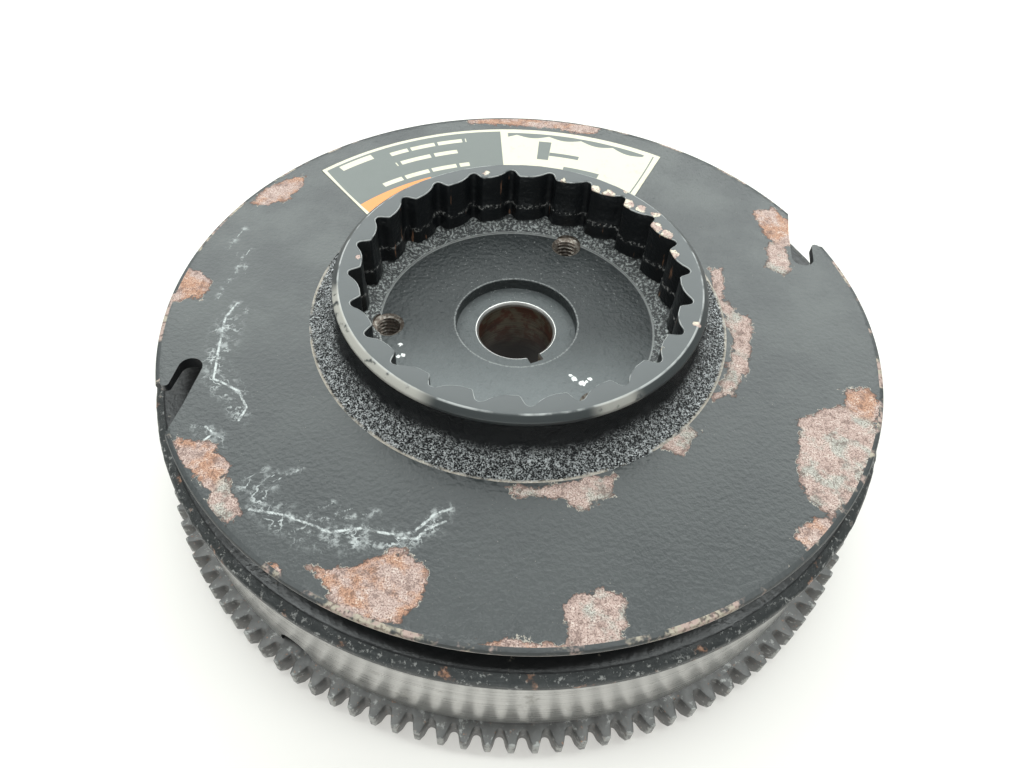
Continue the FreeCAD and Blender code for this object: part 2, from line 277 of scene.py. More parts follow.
# Corner points on the disc, in millimetres.
ORANGE_FLAKES = [
    [(-103, 47), (-99, 57), (-87, 69), (-85, 64), (-88, 51), (-98, 46)],
    [(-116, 9), (-110, 8), (-104, 2), (-105, -5), (-116, -8)],
    [(85, 60), (94, 63), (100, 54), (98, 42), (93, 40), (88, 46)],
    [(-97, -61), (-83, -63), (-76, -71), (-79, -80), (-89, -72)],
    [(-49, -98), (-39, -98), (-27, -91), (-18, -96), (-18, -105), (-24, -112), (-37, -110)],
    [(-4, -113.5), (8, -113), (18, -112.5), (18, -117), (-4, -117)],
    [(76, -79), (84, -71), (92, -77), (83, -86)],
    [(100, -32), (101, -26), (109, -24), (112, -29), (108, -38), (101, -38)],
    [round_axis(108.5, 76), round_axis(117, 75), round_axis(117, 90), round_axis(117, 104),
     round_axis(112, 103), round_axis(110, 95), round_axis(109.5, 86)],
    [round_axis(111.5, -120), round_axis(117, -122.5), round_axis(117, -117.5)],
    [round_axis(113.8, -50), round_axis(117, -51.5), round_axis(117, -48.5)],
]
GREY_FLAKES = [
    [(93, 42), (96, 33), (92, 24), (85, 29), (88, 34), (88, 44)],
    [(-78, -70), (-70, -85), (-74, -88), (-80, -83), (-81, -76)],
    [(17, -102), (26, -97), (33, -101), (31, -111), (33, -117), (16, -117), (18, -110)],
    [(85, -39), (100, -32), (108, -36), (108, -44), (98, -62), (89, -71), (83, -67), (82, -57)],
    [(66, 27), (70, 27), (69, 11), (77, 2), (74, -16), (68, -31), (61, -33), (66, -22), (70, -8), (67, 5)],
    [round_axis(66, -50), round_axis(66, -39), round_axis(73, -40), round_axis(74, -48)],
    [(0, -70), (15, -68), (24, -64), (30, -64), (29, -71), (21, -76), (16, -72), (4, -73)],
]
SCUFFED = [
    [(-73, -77), (-64, -86), (-52, -92), (-44, -93), (-26, -92), (-16, -85), (-15, -77), (-23, -86),
     (-37, -86), (-51, -86), (-62, -78), (-71, -71)],
    [(-91, -57), (-83, -59), (-80, -63), (-90, -62)],
    [(-97, -14), (-90, -12), (-88, -34), (-76, -50), (-78, -55), (-95, -38)],
]
CREASES = [
    [(-93, -6), (-95, -13), (-93, -27), (-91, -39), (-86, -41), (-82, -43), (-78, -49), (-79, -54)],
    [(-68, -83), (-58, -84), (-51, -86), (-45, -88), (-37, -86), (-31, -87), (-27, -87), (-23, -86),
     (-18, -80), (-14, -78)],
    [(-27, -88), (-22, -88), (-20, -85), (-15, -82)], [(-88, -57), (-85, -59), (-87, -62)],
]
HAIRLINES = [
    [(-95, -8), (-88, -9)], [(-96, 21), (-98, 8), (-100, -5)], [(-38, -90), (-30, -91), (-26, -93)],
    [(-92, -57), (-88, -57)], [(-72, -74), (-67, -70)], [(-68, -75), (-63, -71)], [(-64, -74), (-57, -69)],
    [(-67, -78), (-62, -74)], [(-52, -84), (-46, -79)], [(-50, -85), (-40, -80)], [(-48, -85), (-34, -81)],
    [(-101, 32), (-104, 22)], [(-100, 18), (-96, 14), (-94, 8)],
]
HAIRLINE_THINNING = 0.3
SCRATCH_REACH = 1.6


def edge_distances(points, corners, closed):
    """Distance from each point to a chain of corners, negative inside a closed one."""
    corners = np.array(corners, float)
    ends = np.roll(corners, -1, 0) if closed else corners[1:]
    nearest = np.full(len(points), np.inf)
    inside = np.zeros(len(points), bool)
    for a, b in zip(corners, ends):
        along = b - a
        t = np.clip((points - a) @ along / (along @ along), 0, 1)
        nearest = np.minimum(nearest, np.linalg.norm(points - a - t[:, None] * along, axis=1))
        if closed and a[1] != b[1]:
            crosses = (a[1] > points[:, 1]) != (b[1] > points[:, 1])
            inside ^= crosses & (points[:, 0] < a[0] + (points[:, 1] - a[1]) / along[1] * along[0])
    return np.where(inside, -nearest, nearest)


def wear_field(points, chains, closed=True):
    """Distance in millimetres from each point to the nearest of several chains."""
    return np.min([edge_distances(points, chain, closed) for chain in chains], axis=0)


def scratch_field(points):
    """Distance to the creases and the hairlines; a hairline counts as a little further off."""
    hairlines = wear_field(points, HAIRLINES, False) + HAIRLINE_THINNING
    return np.minimum(wear_field(points, CREASES, False), hairlines)


def refine_scratches(piece):
    """Divides the flat faces under the scratches, so that thin lines are carried sharply."""
    mesh = piece.data
    activate(piece)
    bpy.ops.object.mode_set(mode="EDIT")
    bpy.ops.mesh.select_mode(type="FACE")
    bpy.ops.mesh.select_all(action="DESELECT")
    bpy.ops.object.mode_set(mode="OBJECT")
    centres = np.empty(len(mesh.polygons) * 3)
    mesh.polygons.foreach_get("center", centres)
    centres = centres.reshape(-1, 3) / MM
    near = np.abs(centres[:, 2] - DISC_Z) < 0.01
    near[near] = scratch_field(centres[near, :2]) < SCRATCH_REACH
    mesh.polygons.foreach_set("select", near)
    bpy.ops.object.mode_set(mode="EDIT")
    bpy.ops.mesh.subdivide(number_cuts=2)
    bpy.ops.object.mode_set(mode="OBJECT")


def mark_wear(piece):
    """Lets the mesh carry its distance to the flakes, the scuffs and the scratches."""
    refine_scratches(piece)
    mesh = piece.data
    co = np.empty(len(mesh.vertices) * 3)
    mesh.vertices.foreach_get("co", co)
    points = co.reshape(-1, 3)[:, :2] / MM
    fields = {"orange_flake": wear_field(points, ORANGE_FLAKES),
              "grey_flake": wear_field(points, GREY_FLAKES),
              "scuffed": wear_field(points, SCUFFED),
              "scratch": scratch_field(points)}
    for name, field in fields.items():
        mesh.attributes.new(name, "FLOAT", "POINT").data.foreach_set("value", field.astype(np.float32))


def flaked(p):
    """Distance outside the flaked paint in millimetres, and how grey the iron under it is."""
    orange = p.marked("orange_flake")
    grey = p.marked("grey_flake")
    crumble = (p.noise(7.0, 3.0, 0.6) - 0.5) * 5.0 + (p.noise(2.6, 4.0, 0.65) - 0.5) * 6.5
    return p.lowest(orange, grey) + crumble, p.smooth(orange - grey, -3.0, 3.0)


def iron_colour(p, grey):
    """Fine-grained rust, from orange to pinkish and greenish grey iron, with its grain as a second value."""
    c = colours()
    fine = p.noise(0.42, 2.0, 0.6)
    coarse = p.noise(7.0, 4.0, 0.65)
    cold = p.mix(p.smooth(coarse, 0.46, 0.62), c.primer, (0.36, 0.35, 0.31))
    warm = p.mix(p.smooth(coarse, 0.43, 0.60) * 0.85, c.primer, c.rust)
    tone = p.mix(grey, warm, cold)
    stain = p.noise(2.6, 5.0, 0.75)
    tone = p.mix(p.smooth(stain, 0.50, 0.36) * 0.6, tone, c.oxide_and_shadow)
    tone = p.mix(p.smooth(fine, 0.50, 0.36) * 0.75, tone, c.oxide_and_shadow)
    tone = p.mix(p.smooth(stain * 0.5 + fine * 0.5, 0.52, 0.64) * 0.7, tone, (0.68, 0.60, 0.54))
    return tone, fine


def paint_disc():
    """Worn satin black paint, its pale haze strengthened towards the back as painted sheen, with flaked rust
    patches, a painted shadow line inside their edges, pale chips and scuffs.
    """
    c = colours()
    p = Paint("disc_paint")
    field, grey = flaked(p)
    bare = p.smooth(field, 0.1, -0.1)
    rim = p.within(field, 0.05, 0.3, 0.1) * p.smooth(p.noise(4.0, 2.0), 0.48, 0.60)
    # Painted shadow: a dark line just inside each flake's edge, where the paint's thickness would cast shade.
    edge_shadow = p.within(field, -0.45, 0.05, 0.15)
    iron, fine = iron_colour(p, grey)
    iron = p.mix(edge_shadow * 0.75, iron, c.oxide_and_shadow)

    cloud = p.noise(30.0, 4.0, 0.6)
    dust = p.noise(0.55, 2.0, 0.6)
    _, y, _ = p.parts()
    # Pale cloudy haze on the paint, partly its own fading and partly painted sheen: it is made stronger
    # towards the back, where the paint reflects the light.
    haze_and_back_sheen = p.spread(p.smooth(y, -90.0, 40.0), 0.2, 1.0) * p.smooth(cloud, 0.32, 0.66)
    tone = p.mix(haze_and_back_sheen, c.paint, (0.052, 0.058, 0.056))
    tone = p.mix(p.smooth(dust, 0.70, 0.80) * 0.25, tone, c.chip)

    scuffed = p.smooth(p.marked("scuffed"), 3.0, -3.0)
    smudge = p.smooth(p.noise(3.4, 5.0, 0.72), 0.50, 0.66)
    ridge = p.smooth(abs(p.noise(4.5, 3.0, 0.6) - 0.5), 0.035, 0.008)
    ridge = ridge * p.smooth(p.noise(5.0, 3.0), 0.45, 0.62)
    crease = p.marked("scratch") + (p.noise(2.0, 4.0, 0.7) - 0.5) * 1.1
    line = p.smooth(crease, 0.50, 0.15) * p.spread(p.smooth(p.noise(2.4, 4.0, 0.7), 0.38, 0.54), 0.2, 1.0)
    feather = p.smooth(crease, 2.6, 0.0) * smudge
    pale = p.highest(p.highest(scuffed * p.highest(smudge * 0.35, ridge * 0.6), feather * 0.5), line * 0.8)
    tone = p.mix(pale, tone, (0.60, 0.63, 0.62))
    tone = p.mix(rim * 0.6, tone, c.chip)
    tone = p.mix(bare, tone, iron)

    rough = p.spread(cloud, 0.28, 0.40) + p.highest(bare * 0.45, pale * 0.3)
    normal = p.relief((1 - bare) * 1.0 + fine * bare * 0.8, 0.22)
    normal = p.relief(p.noise(1.5, 2.5, 0.55), 0.27, normal)
    return p.finish(Base_Color=tone, Roughness=rough, Normal=normal, Specular_IOR_Level=0.6)


def paint_cast():
    """Glossy black paint over the rough sand casting of the neck, with painted glints on its grain near the
    foot.
    """
    c = colours()
    p = Paint("cast_paint")
    radius, _ = p.polar()
    _, _, z = p.parts()
    lumps = p.noise(1.2, 3.0, 0.6)
    grain = p.noise(0.5, 2.0, 0.6, place=p.stretch(1.0, 1.0, 1.6))
    low = p.smooth(z + (p.noise(12.0, 3.0) - 0.5) * 4.0, DISC_Z + 5.5, DISC_Z + 1.5)
    # Painted glints: pale, metallic crests of the grain on the lower fillet, standing in for the sparkle of
    # the light.
    crests = p.smooth(grain * 0.65 + lumps * 0.35, 0.46, 0.67) * low
    foot = p.smooth(radius + (lumps - 0.5) * 1.5, 67.2, 68.0) * p.smooth(p.noise(9.0, 3.0), 0.36, 0.50)
    tone = p.mix(crests, (0.003, 0.004, 0.005), (0.72, 0.74, 0.745))
    tone = p.mix(foot * 0.6, tone, c.chip)
    return p.finish(Base_Color=tone, Metallic=crests * 0.7, Roughness=p.spread(lumps, 0.10, 0.24),
                    Normal=p.relief(lumps + grain * 0.3, 1.2), Specular_IOR_Level=0.4)


def paint_wall():
    """Black paint of the pocket walls, with a rusty streak here and there."""
    c = colours()
    p = Paint("wall_paint")
    lumps = p.noise(1.8, 3.0, 0.6)
    streaks = p.noise(2.5, 3.0, 0.6, place=p.stretch(1.0, 1.0, 0.15))
    _, _, z = p.parts()
    # A broken pale band round the wall at its small step.
    step_band = p.within(z + p.noise(5.0) * 3.0, 62.6, 63.8, 0.5) * p.smooth(p.noise(1.0, 4.0, 0.7), 0.50, 0.62)
    tone = p.mix(p.smooth(streaks, 0.66, 0.72) * 0.5, (0.006, 0.007, 0.008), c.rust)
    tone = p.mix(step_band * 0.5, tone, c.steel)
    return p.finish(Base_Color=tone, Roughness=p.spread(lumps, 0.22, 0.45),
                    Normal=p.relief(lumps, 0.4), Specular_IOR_Level=0.4)


def paint_ledge():
    """Rough cast ledge round the cup floor, with painted glints on its grain."""
    p = Paint("ledge_paint")
    lumps = p.noise(0.9, 4.0, 0.65)
    # Painted glints: the crests of the grain are made pale and metallic, standing in for the sparkle of the
    # light.
    crests = p.smooth(lumps, 0.46, 0.64)
    tone = p.mix(crests * 0.8, (0.012, 0.014, 0.015), (0.42, 0.44, 0.43))
    return p.finish(Base_Color=tone, Metallic=crests * 0.5, Roughness=p.spread(lumps, 0.5, 0.3),
                    Normal=p.relief(lumps, 0.5), Specular_IOR_Level=0.6)


# Chips of the ring's paint: radius in millimetres, angle in degrees, and size in millimetres.
RING_CHIPS = [
    (50.8, 80, 1.6), (50.8, 75, 1.5), (51.0, 62, 2.0), (51.6, 56, 2.2), (51.6, 47, 2.6), (53.6, 42, 1.8),
    (55.6, 36, 1.4), (50.6, 31, 3.0), (52.4, 25, 2.4), (50.8, 15, 2.0), (53.0, 106, 1.2), (56.6, -19, 1.0),
    (51.2, -35, 1.0), (57.0, 52, 1.0), (52.0, 178, 0.8),
]


def paint_ring():
    """Top of the ratchet ring: worn grey paint, pale and rusty chips along its edges."""
    c = colours()
    p = Paint("ring_paint")
    radius, angle = p.polar()
    _, _, z = p.parts()
    cloud = p.noise(9.0, 3.0, 0.6)
    fine = p.noise(0.8, 3.0, 0.7)
    crumble = (p.noise(2.2, 4.0, 0.65) - 0.5) * 4.0
    far = p.nearest_spot([(*round_axis(r, a), size) for r, a, size in RING_CHIPS])
    chips = p.smooth(far + crumble, 0.12, -0.12)
    small = p.smooth(p.noise(2.0, 4.0, 0.65), 0.74, 0.76)
    corner = p.smooth(abs(radius - 57.25), 0.40, 0.15) * p.smooth(p.noise(6.0, 4.0), 0.36, 0.60)
    lip = p.smooth(z, CROWN_Z - 0.02, CROWN_Z - 0.12) * p.smooth(radius, 55.6, 55.2)
    lip = lip * p.smooth(p.noise(5.0, 4.0), 0.36, 0.52)
    bright = p.smooth(radius, 56.9, 57.3) * p.smooth(p.noise(4.0, 4.0), 0.30, 0.40)
    left_arc = p.within(angle, -168.0, -114.0, 4.0)
    right_arc = p.within(angle, -66.0, -53.0, 3.0)
    bright = bright * p.highest(left_arc, right_arc * 0.7)
    tone = p.mix(p.spread(cloud, 0.2, 0.7), (0.050, 0.056, 0.057), (0.090, 0.098, 0.100))
    tone = p.mix(p.smooth(radius, 57.3, 57.8) * 0.7, tone, c.paint)
    tone = p.mix(p.highest(corner * 0.65, lip * 0.7), tone, (0.5, 0.51, 0.5))
    tone = p.mix(bright * 0.7, tone, (0.52, 0.50, 0.45))
    bare = p.highest(chips, small * 0.7)
    tone = p.mix(bare, tone, p.mix(p.smooth(p.noise(3.0, 3.0), 0.44, 0.56), c.primer, (0.66, 0.60, 0.48)))
    tone = p.mix(chips * p.smooth(fine, 0.50, 0.36) * 0.7, tone, c.oxide_and_shadow)
    rough = p.spread(cloud, 0.36, 0.46) + bare * 0.25
    return p.finish(Base_Color=tone, Roughness=rough, Normal=p.relief(cloud * 0.5 + fine * 0.2 - bare, 0.12),
                    Specular_IOR_Level=0.5)


# Pale drops on the cup floor: x, y and radius in millimetres.
PAINT_DROPS = [
    (19.5, -24.1, 0.9), (22.2, -25.6, 1.0), (24.6, -23.7, 0.7), (23.4, -25.0, 0.5), (18.6, -22.6, 0.5),
    (-37.4, -14.4, 0.7), (-35.8, -19.0, 0.8), (-37.2, -19.8, 0.6),
]


def paint_floor():
    """Painted floor of the cup and the nut recess, paler in front, with specks, a few pale drops, a pale line
    round the recess edge and a painted highlight along the corner at the ledge.
    """
    c = colours()
    p = Paint("floor_paint")
    radius, _ = p.polar()
    _, y, _ = p.parts()
    cloud = p.noise(11.0, 4.0, 0.6)
    dust = p.noise(0.8, 2.0)
    specks = p.smooth(p.noise(1.0, 4.0, 0.7) + p.smooth(y, -4.0, 16.0) * 0.08, 0.70, 0.77)
    # Paler towards the front and inside the nut recess.
    dusty = p.highest(p.smooth(y + (cloud - 0.5) * 8.0, 2.0, -40.0), p.smooth(radius, 20.5, 20.0) * 0.5)
    edge = p.smooth(abs(radius - 20.8) + dust, 0.9, 0.4) * 0.35
    # Painted highlight: a pale line along the floor's corner at the ledge.
    edge = p.highest(edge, p.smooth(radius, 45.4, 45.8) * 0.5)
    tone = p.mix(dusty, p.mix(cloud, c.paint, (0.030, 0.034, 0.035)), (0.125, 0.138, 0.140))
    tone = p.mix(p.highest(specks * 0.5, edge), tone, (0.5, 0.51, 0.5))
    drops = p.smooth(p.nearest_spot(PAINT_DROPS) + (dust - 0.5) * 1.6, 0.15, -0.15)
    tone = p.mix(drops, tone, (0.85, 0.86, 0.84))
    height = cloud * 0.4 + p.noise(1.5, 2.0, 0.5) * 1.2
    return p.finish(Base_Color=tone, Roughness=p.spread(p.noise(4.0, 3.0), 0.42, 0.55),
                    Normal=p.relief(height, 0.5), Specular_IOR_Level=0.4)


def paint_bore():
    """Ground bore with brown staining, and painted shade that darkens it further down."""
    c = colours()
    p = Paint("bore_metal")
    _, _, z = p.parts()
    stain = p.smooth(p.noise(5.0, 4.0, 0.65), 0.42, 0.6)
    rings = p.noise(0.5, 2.0, place=p.stretch(0.04, 0.04, 1.0))
    low = p.smooth(z, 48.0, 46.6)
    # Painted shade: the bore is darkened almost to black further down, where little light reaches.
    deep = p.smooth(z + (p.noise(9.0, 4.0) - 0.5) * 10.0, 46.0, 24.0)
    brown = p.mix(stain, (0.24, 0.21, 0.15), (0.16, 0.06, 0.035))
    brown = p.mix(p.smooth(rings, 0.42, 0.62) * 0.5, brown, (0.05, 0.04, 0.03))
    brown = p.mix(deep, brown, (0.008, 0.006, 0.005))
    tone = p.mix(low, c.steel, brown)
    return p.finish(Base_Color=tone, Metallic=1 - low * 0.4, Roughness=p.spread(rings, 0.25, 0.5) + low * 0.1,
                    Normal=p.relief(rings, 0.03))


def paint_groove():
    """Glossy dark paint of the rope groove."""
    p = Paint("groove_paint")
    cloud = p.noise(9.0, 4.0, 0.6)
    worn = p.smooth(p.noise(3.0, 4.0, 0.7), 0.62, 0.72)
    tone = p.mix(worn * 0.25, (0.012, 0.013, 0.014), colours().chip)
    return p.finish(Base_Color=tone, Roughness=p.spread(cloud, 0.2, 0.45),
                    Normal=p.relief(p.noise(1.6, 3.0) + cloud, 0.15), Specular_IOR_Level=0.5)


def paint_shoulder():
    """Lumpy cast shoulder: dark paint broken by pale flecks and rust spots."""
    c = colours()
    p = Paint("shoulder_paint")
    lumps = p.noise(2.4, 4.0, 0.65)
    flecks = p.smooth(p.noise(1.5, 4.0, 0.7), 0.56, 0.64)
    spots = p.smooth(p.noise(6.0, 3.0, 0.6), 0.60, 0.68)
    tone = p.mix(p.spread(lumps, 0.0, 0.6), c.paint, (0.06, 0.062, 0.062))
    tone = p.mix(flecks * 0.45, tone, (0.55, 0.55, 0.53))
    tone = p.mix(spots * 0.7, tone, p.mix(p.smooth(p.noise(0.8), 0.4, 0.6), c.oxide_and_shadow, c.rust))
    return p.finish(Base_Color=tone, Roughness=p.spread(lumps, 0.3, 0.6),
                    Normal=p.relief(lumps + flecks * 0.2, 0.45), Specular_IOR_Level=0.5)


def paint_flange():
    """Edge of the top flange: paint worn through to pale, rusty iron in places, and a pale line along its
    lower edge.
    """
    c = colours()
    p = Paint("flange_edge")
    _, _, z = p.parts()
    # A pale line along the lower rounded edge of the flange.
    low = p.smooth(z + (p.noise(2.0) - 0.5) * 0.4, DISC_Z - 1.45, DISC_Z - 1.75)
    worn = p.smooth(p.noise(16.0, 5.0, 0.65), 0.50, 0.58)
    iron = p.mix(p.smooth(p.noise(3.0, 4.0, 0.6), 0.44, 0.56), c.primer, (0.42, 0.37, 0.29))
    iron = p.mix(p.smooth(p.noise(1.0, 3.0), 0.50, 0.36) * 0.7, iron, c.oxide_and_shadow)
    tone = p.mix(worn * 0.85, c.paint, iron)
    tone = p.mix(low * 0.65, tone, (0.72, 0.68, 0.64))
    return p.finish(Base_Color=tone, Roughness=0.4 + worn * 0.3,
                    Normal=p.relief(p.noise(1.5, 3.0) - worn * 0.5, 0.15), Specular_IOR_Level=0.5)


def paint_band():
    """Bare turned steel band with fine rings and a few dark stains."""
    p = Paint("band_metal")
    rings = p.noise(0.5, 3.0, 0.6, place=p.stretch(0.02, 0.02, 1.0))
    stain = p.smooth(p.noise(7.0, 5.0, 0.7), 0.56, 0.72)
    drops = p.smooth(p.noise(2.0, 2.0), 0.72, 0.78)
    tone = p.mix(p.smooth(rings, 0.40, 0.60), (0.52, 0.51, 0.49), (0.62, 0.61, 0.59))
    tone = p.mix(stain * 0.6, tone, (0.16, 0.145, 0.12))
    tone = p.mix(drops * 0.5, tone, (0.9, 0.9, 0.88))
    return p.finish(Base_Color=tone, Metallic=0.8 - stain * 0.4 - drops * 0.3,
                    Roughness=p.spread(rings, 0.22, 0.36) + stain * 0.2, Normal=p.relief(rings, 0.02))


def paint_underside():
    """Painted casting of the underside, dusty and slightly rusty."""
    c = colours()
    p = Paint("underside_paint")
    cloud = p.noise(14.0, 4.0, 0.65)
    lumps = p.noise(1.8, 3.0, 0.6)
    spots = p.smooth(p.noise(4.0, 4.0, 0.7), 0.64, 0.72)
    tone = p.mix(p.spread(cloud, 0.0, 0.6), c.paint, (0.07, 0.07, 0.068))
    tone = p.mix(spots * 0.7, tone, c.rust)
    return p.finish(Base_Color=tone, Roughness=p.spread(cloud, 0.4, 0.65),
                    Normal=p.relief(lumps, 0.25), Specular_IOR_Level=0.5)


def paint_thread():
    """Cut thread of the puller holes, dark with bright crests."""
    p = Paint("thread_metal")
    wear = p.noise(1.0, 3.0)
    tone = p.mix(p.smooth(wear, 0.4, 0.7), (0.14, 0.11, 0.09), (0.38, 0.35, 0.31))
    return p.finish(Base_Color=tone, Metallic=0.6, Roughness=p.spread(wear, 0.3, 0.5),
                    Normal=p.relief(wear, 0.04))


# ------------------------------------------------------------------ modelling helpers
def clear_selection():
    """Leaves edit mode and selects nothing."""
    if bpy.context.object is not None and bpy.context.object.mode != "OBJECT":
        bpy.ops.object.mode_set(mode="OBJECT")
    bpy.ops.object.select_all(action="DESELECT")


def activate(piece):
    clear_selection()
    piece.select_set(True)
    bpy.context.view_layer.objects.active = piece


def draw_line(name, points):
    """A piece that is one open line through the points, in millimetres; edit mode stays on."""
    clear_selection()
    bpy.ops.mesh.primitive_plane_add(size=2 * MM)
    piece = bpy.context.object
    piece.name = piece.data.name = name
    bpy.ops.object.mode_set(mode="EDIT")
    bpy.ops.mesh.select_mode(type="VERT")
    bpy.ops.mesh.select_all(action="SELECT")
    bpy.ops.mesh.merge(type="CENTER")
    points = [Vector(point) * MM for point in points]
    bpy.ops.transform.translate(value=points[0])
    for start, end in zip(points, points[1:]):
        bpy.ops.mesh.extrude_vertices_move(TRANSFORM_OT_translate={"value": end - start})
    return piece


def spin_line(steps, angle=2 * math.pi):
    """Spins the line being edited round the axis, and closes the skin with its faces outwards."""
    bpy.ops.mesh.select_all(action="SELECT")
    bpy.ops.mesh.spin(steps=steps, angle=angle, center=(0, 0, 0), axis=(0, 0, 1))
    close_skin()


def close_skin():
    bpy.ops.mesh.select_all(action="SELECT")
    bpy.ops.mesh.remove_doubles(threshold=0.01 * MM)
    bpy.ops.mesh.normals_make_consistent(inside=False)
    bpy.ops.object.mode_set(mode="OBJECT")


def turned_cutter(name, section, steps):
    """A turned plug from (radius, height) corners that start and end on the axis."""
    piece = draw_line(name, [(radius, 0, z) for radius, z in section])
    spin_line(steps)
    return piece


def eased(corners):
    """Section rows (radius, height, finish that follows, wall row), each corner rounded by its cut."""
    rows = []
    count = len(corners)
    for i, (radius, z, cut, finish, wall) in enumerate(corners):
        here = Vector((radius, z))
        if cut == 0:
            rows.append((radius, z, finish, wall))
            continue
        before = Vector(corners[i - 1][:2]) - here
        after = Vector(corners[(i + 1) % count][:2]) - here
        start = here + before.normalized() * cut
        end = here + after.normalized() * cut
        for t in (0.0, 0.33, 0.67, 1.0):
            point = start * (1 - t) ** 2 + here * (2 * t * (1 - t)) + end * t ** 2
            rows.append((point.x, point.y, finish, wall))
    return rows


def take_finishes(mesh, finishes):
    """Gives a mesh its materials in order, in place of any that it has."""
    mesh.materials.clear()
    for finish in finishes:
        mesh.materials.append(finish)


def smooth_shaded(piece, degrees):
    activate(piece)
    bpy.ops.object.shade_smooth_by_angle(angle=math.radians(degrees))


# ------------------------------------------------------------------ casting
COLUMNS_PER_POCKET = 20
COLUMN_SHIFT = 3
DISC_ROWS = 30
NECK_ROWS = 12
# Angles round the axis, in degrees.
POCKET_FIRST_ANGLE = 6.04
PULLER_ANGLES = (67.7, 187.7, 307.7)
KEYWAY_ANGLE = -61.0
BALANCE_ANGLE = -119.8
# Depths below the disc face, in millimetres.
CUP_DEPTH = 5.5
RECESS_DEPTH = 9.7
SHOULDER_TOP = 11.6
SHOULDER_BEND = 13.2
SHOULDER_LOW = 15.6
# The hidden underside: radii, and heights over the floor, in millimetres.
RIM_OUTSIDE, RIM_INSIDE = 114.0, 111.5
BAY_RADIUS, STOP_RADIUS = 106.0, 101.0
BAY_TOP, RETAINER_SEAT = 38.0, 4.0
HUB_RADIUS, HUB_FOOT = 27.0, 14.0
# Roughness of the sand casting, in millimetres: how far points move, and the size of its grain.
SHOULDER_CAST = (0.32, 3.2)
NECK_CAST = (0.75, 2.2)
WALL_CAST = (0.12, 2.6)
LEDGE_CAST = (0.22, 2.6)
CAST_SEED = 7
# Angle from the deepest point of a pocket, in degrees, and depth behind the land, in millimetres.
POCKET_FORM = [
    (-7.1, 0.0), (-6.0, 0.0), (-5.0, 0.0), (-4.3, 0.0), (-3.7, 0.02), (-3.35, 0.15), (-3.05, 0.45),
    (-2.75, 0.9), (-2.45, 1.45), (-2.1, 2.1), (-1.75, 2.75), (-1.35, 3.3), (-0.9, 3.6), (-0.4, 3.7),
    (0.3, 3.65), (1.0, 3.35), (1.7, 2.8), (2.6, 2.0), (3.8, 1.25), (5.4, 0.55),
]
# Rows of the cup wall from the ring down to the ledge: height, how far it stands off the pocket
# form into the metal, how closely it follows the form (0 is the plain circle of the floor), and
# the finish that follows.
WALL_ROWS = [
    (CROWN_Z, 0.55, 1.0, "ring_paint"), (CROWN_Z - 0.04, 0.3, 1.0, "ring_paint"),
    (CROWN_Z - 0.18, 0.1, 1.0, "ring_paint"), (CROWN_Z - 0.45, 0.0, 1.0, "wall_paint"),
    (CROWN_Z - 6.0, 0.0, 1.0, "wall_paint"), (CROWN_Z - 12.2, 0.0, 1.0, "wall_paint"),
    (CROWN_Z - 13.0, -0.3, 1.0, "wall_paint"), (DISC_Z - 1.6, -0.35, 1.0, "wall_paint"),
    (DISC_Z - 2.6, -0.35, 0.97, "ledge_paint"), (DISC_Z - 3.1, 0.0, 0.84, "ledge_paint"),
    (DISC_Z - 3.6, 0.0, 0.6, "ledge_paint"), (DISC_Z - 4.1, 0.0, 0.4, "ledge_paint"),
    (DISC_Z - 4.6, 0.0, 0.15, "ledge_paint"),
]
PAINTERS = {
    "disc_paint": paint_disc, "cast_paint": paint_cast, "ring_paint": paint_ring, "wall_paint": paint_wall,
    "ledge_paint": paint_ledge, "floor_paint": paint_floor, "bore_metal": paint_bore,
    "groove_paint": paint_groove, "shoulder_paint": paint_shoulder, "flange_edge": paint_flange,
    "band_metal": paint_band, "underside_paint": paint_underside, "thread_metal": paint_thread,
}
FINISHES = list(PAINTERS)


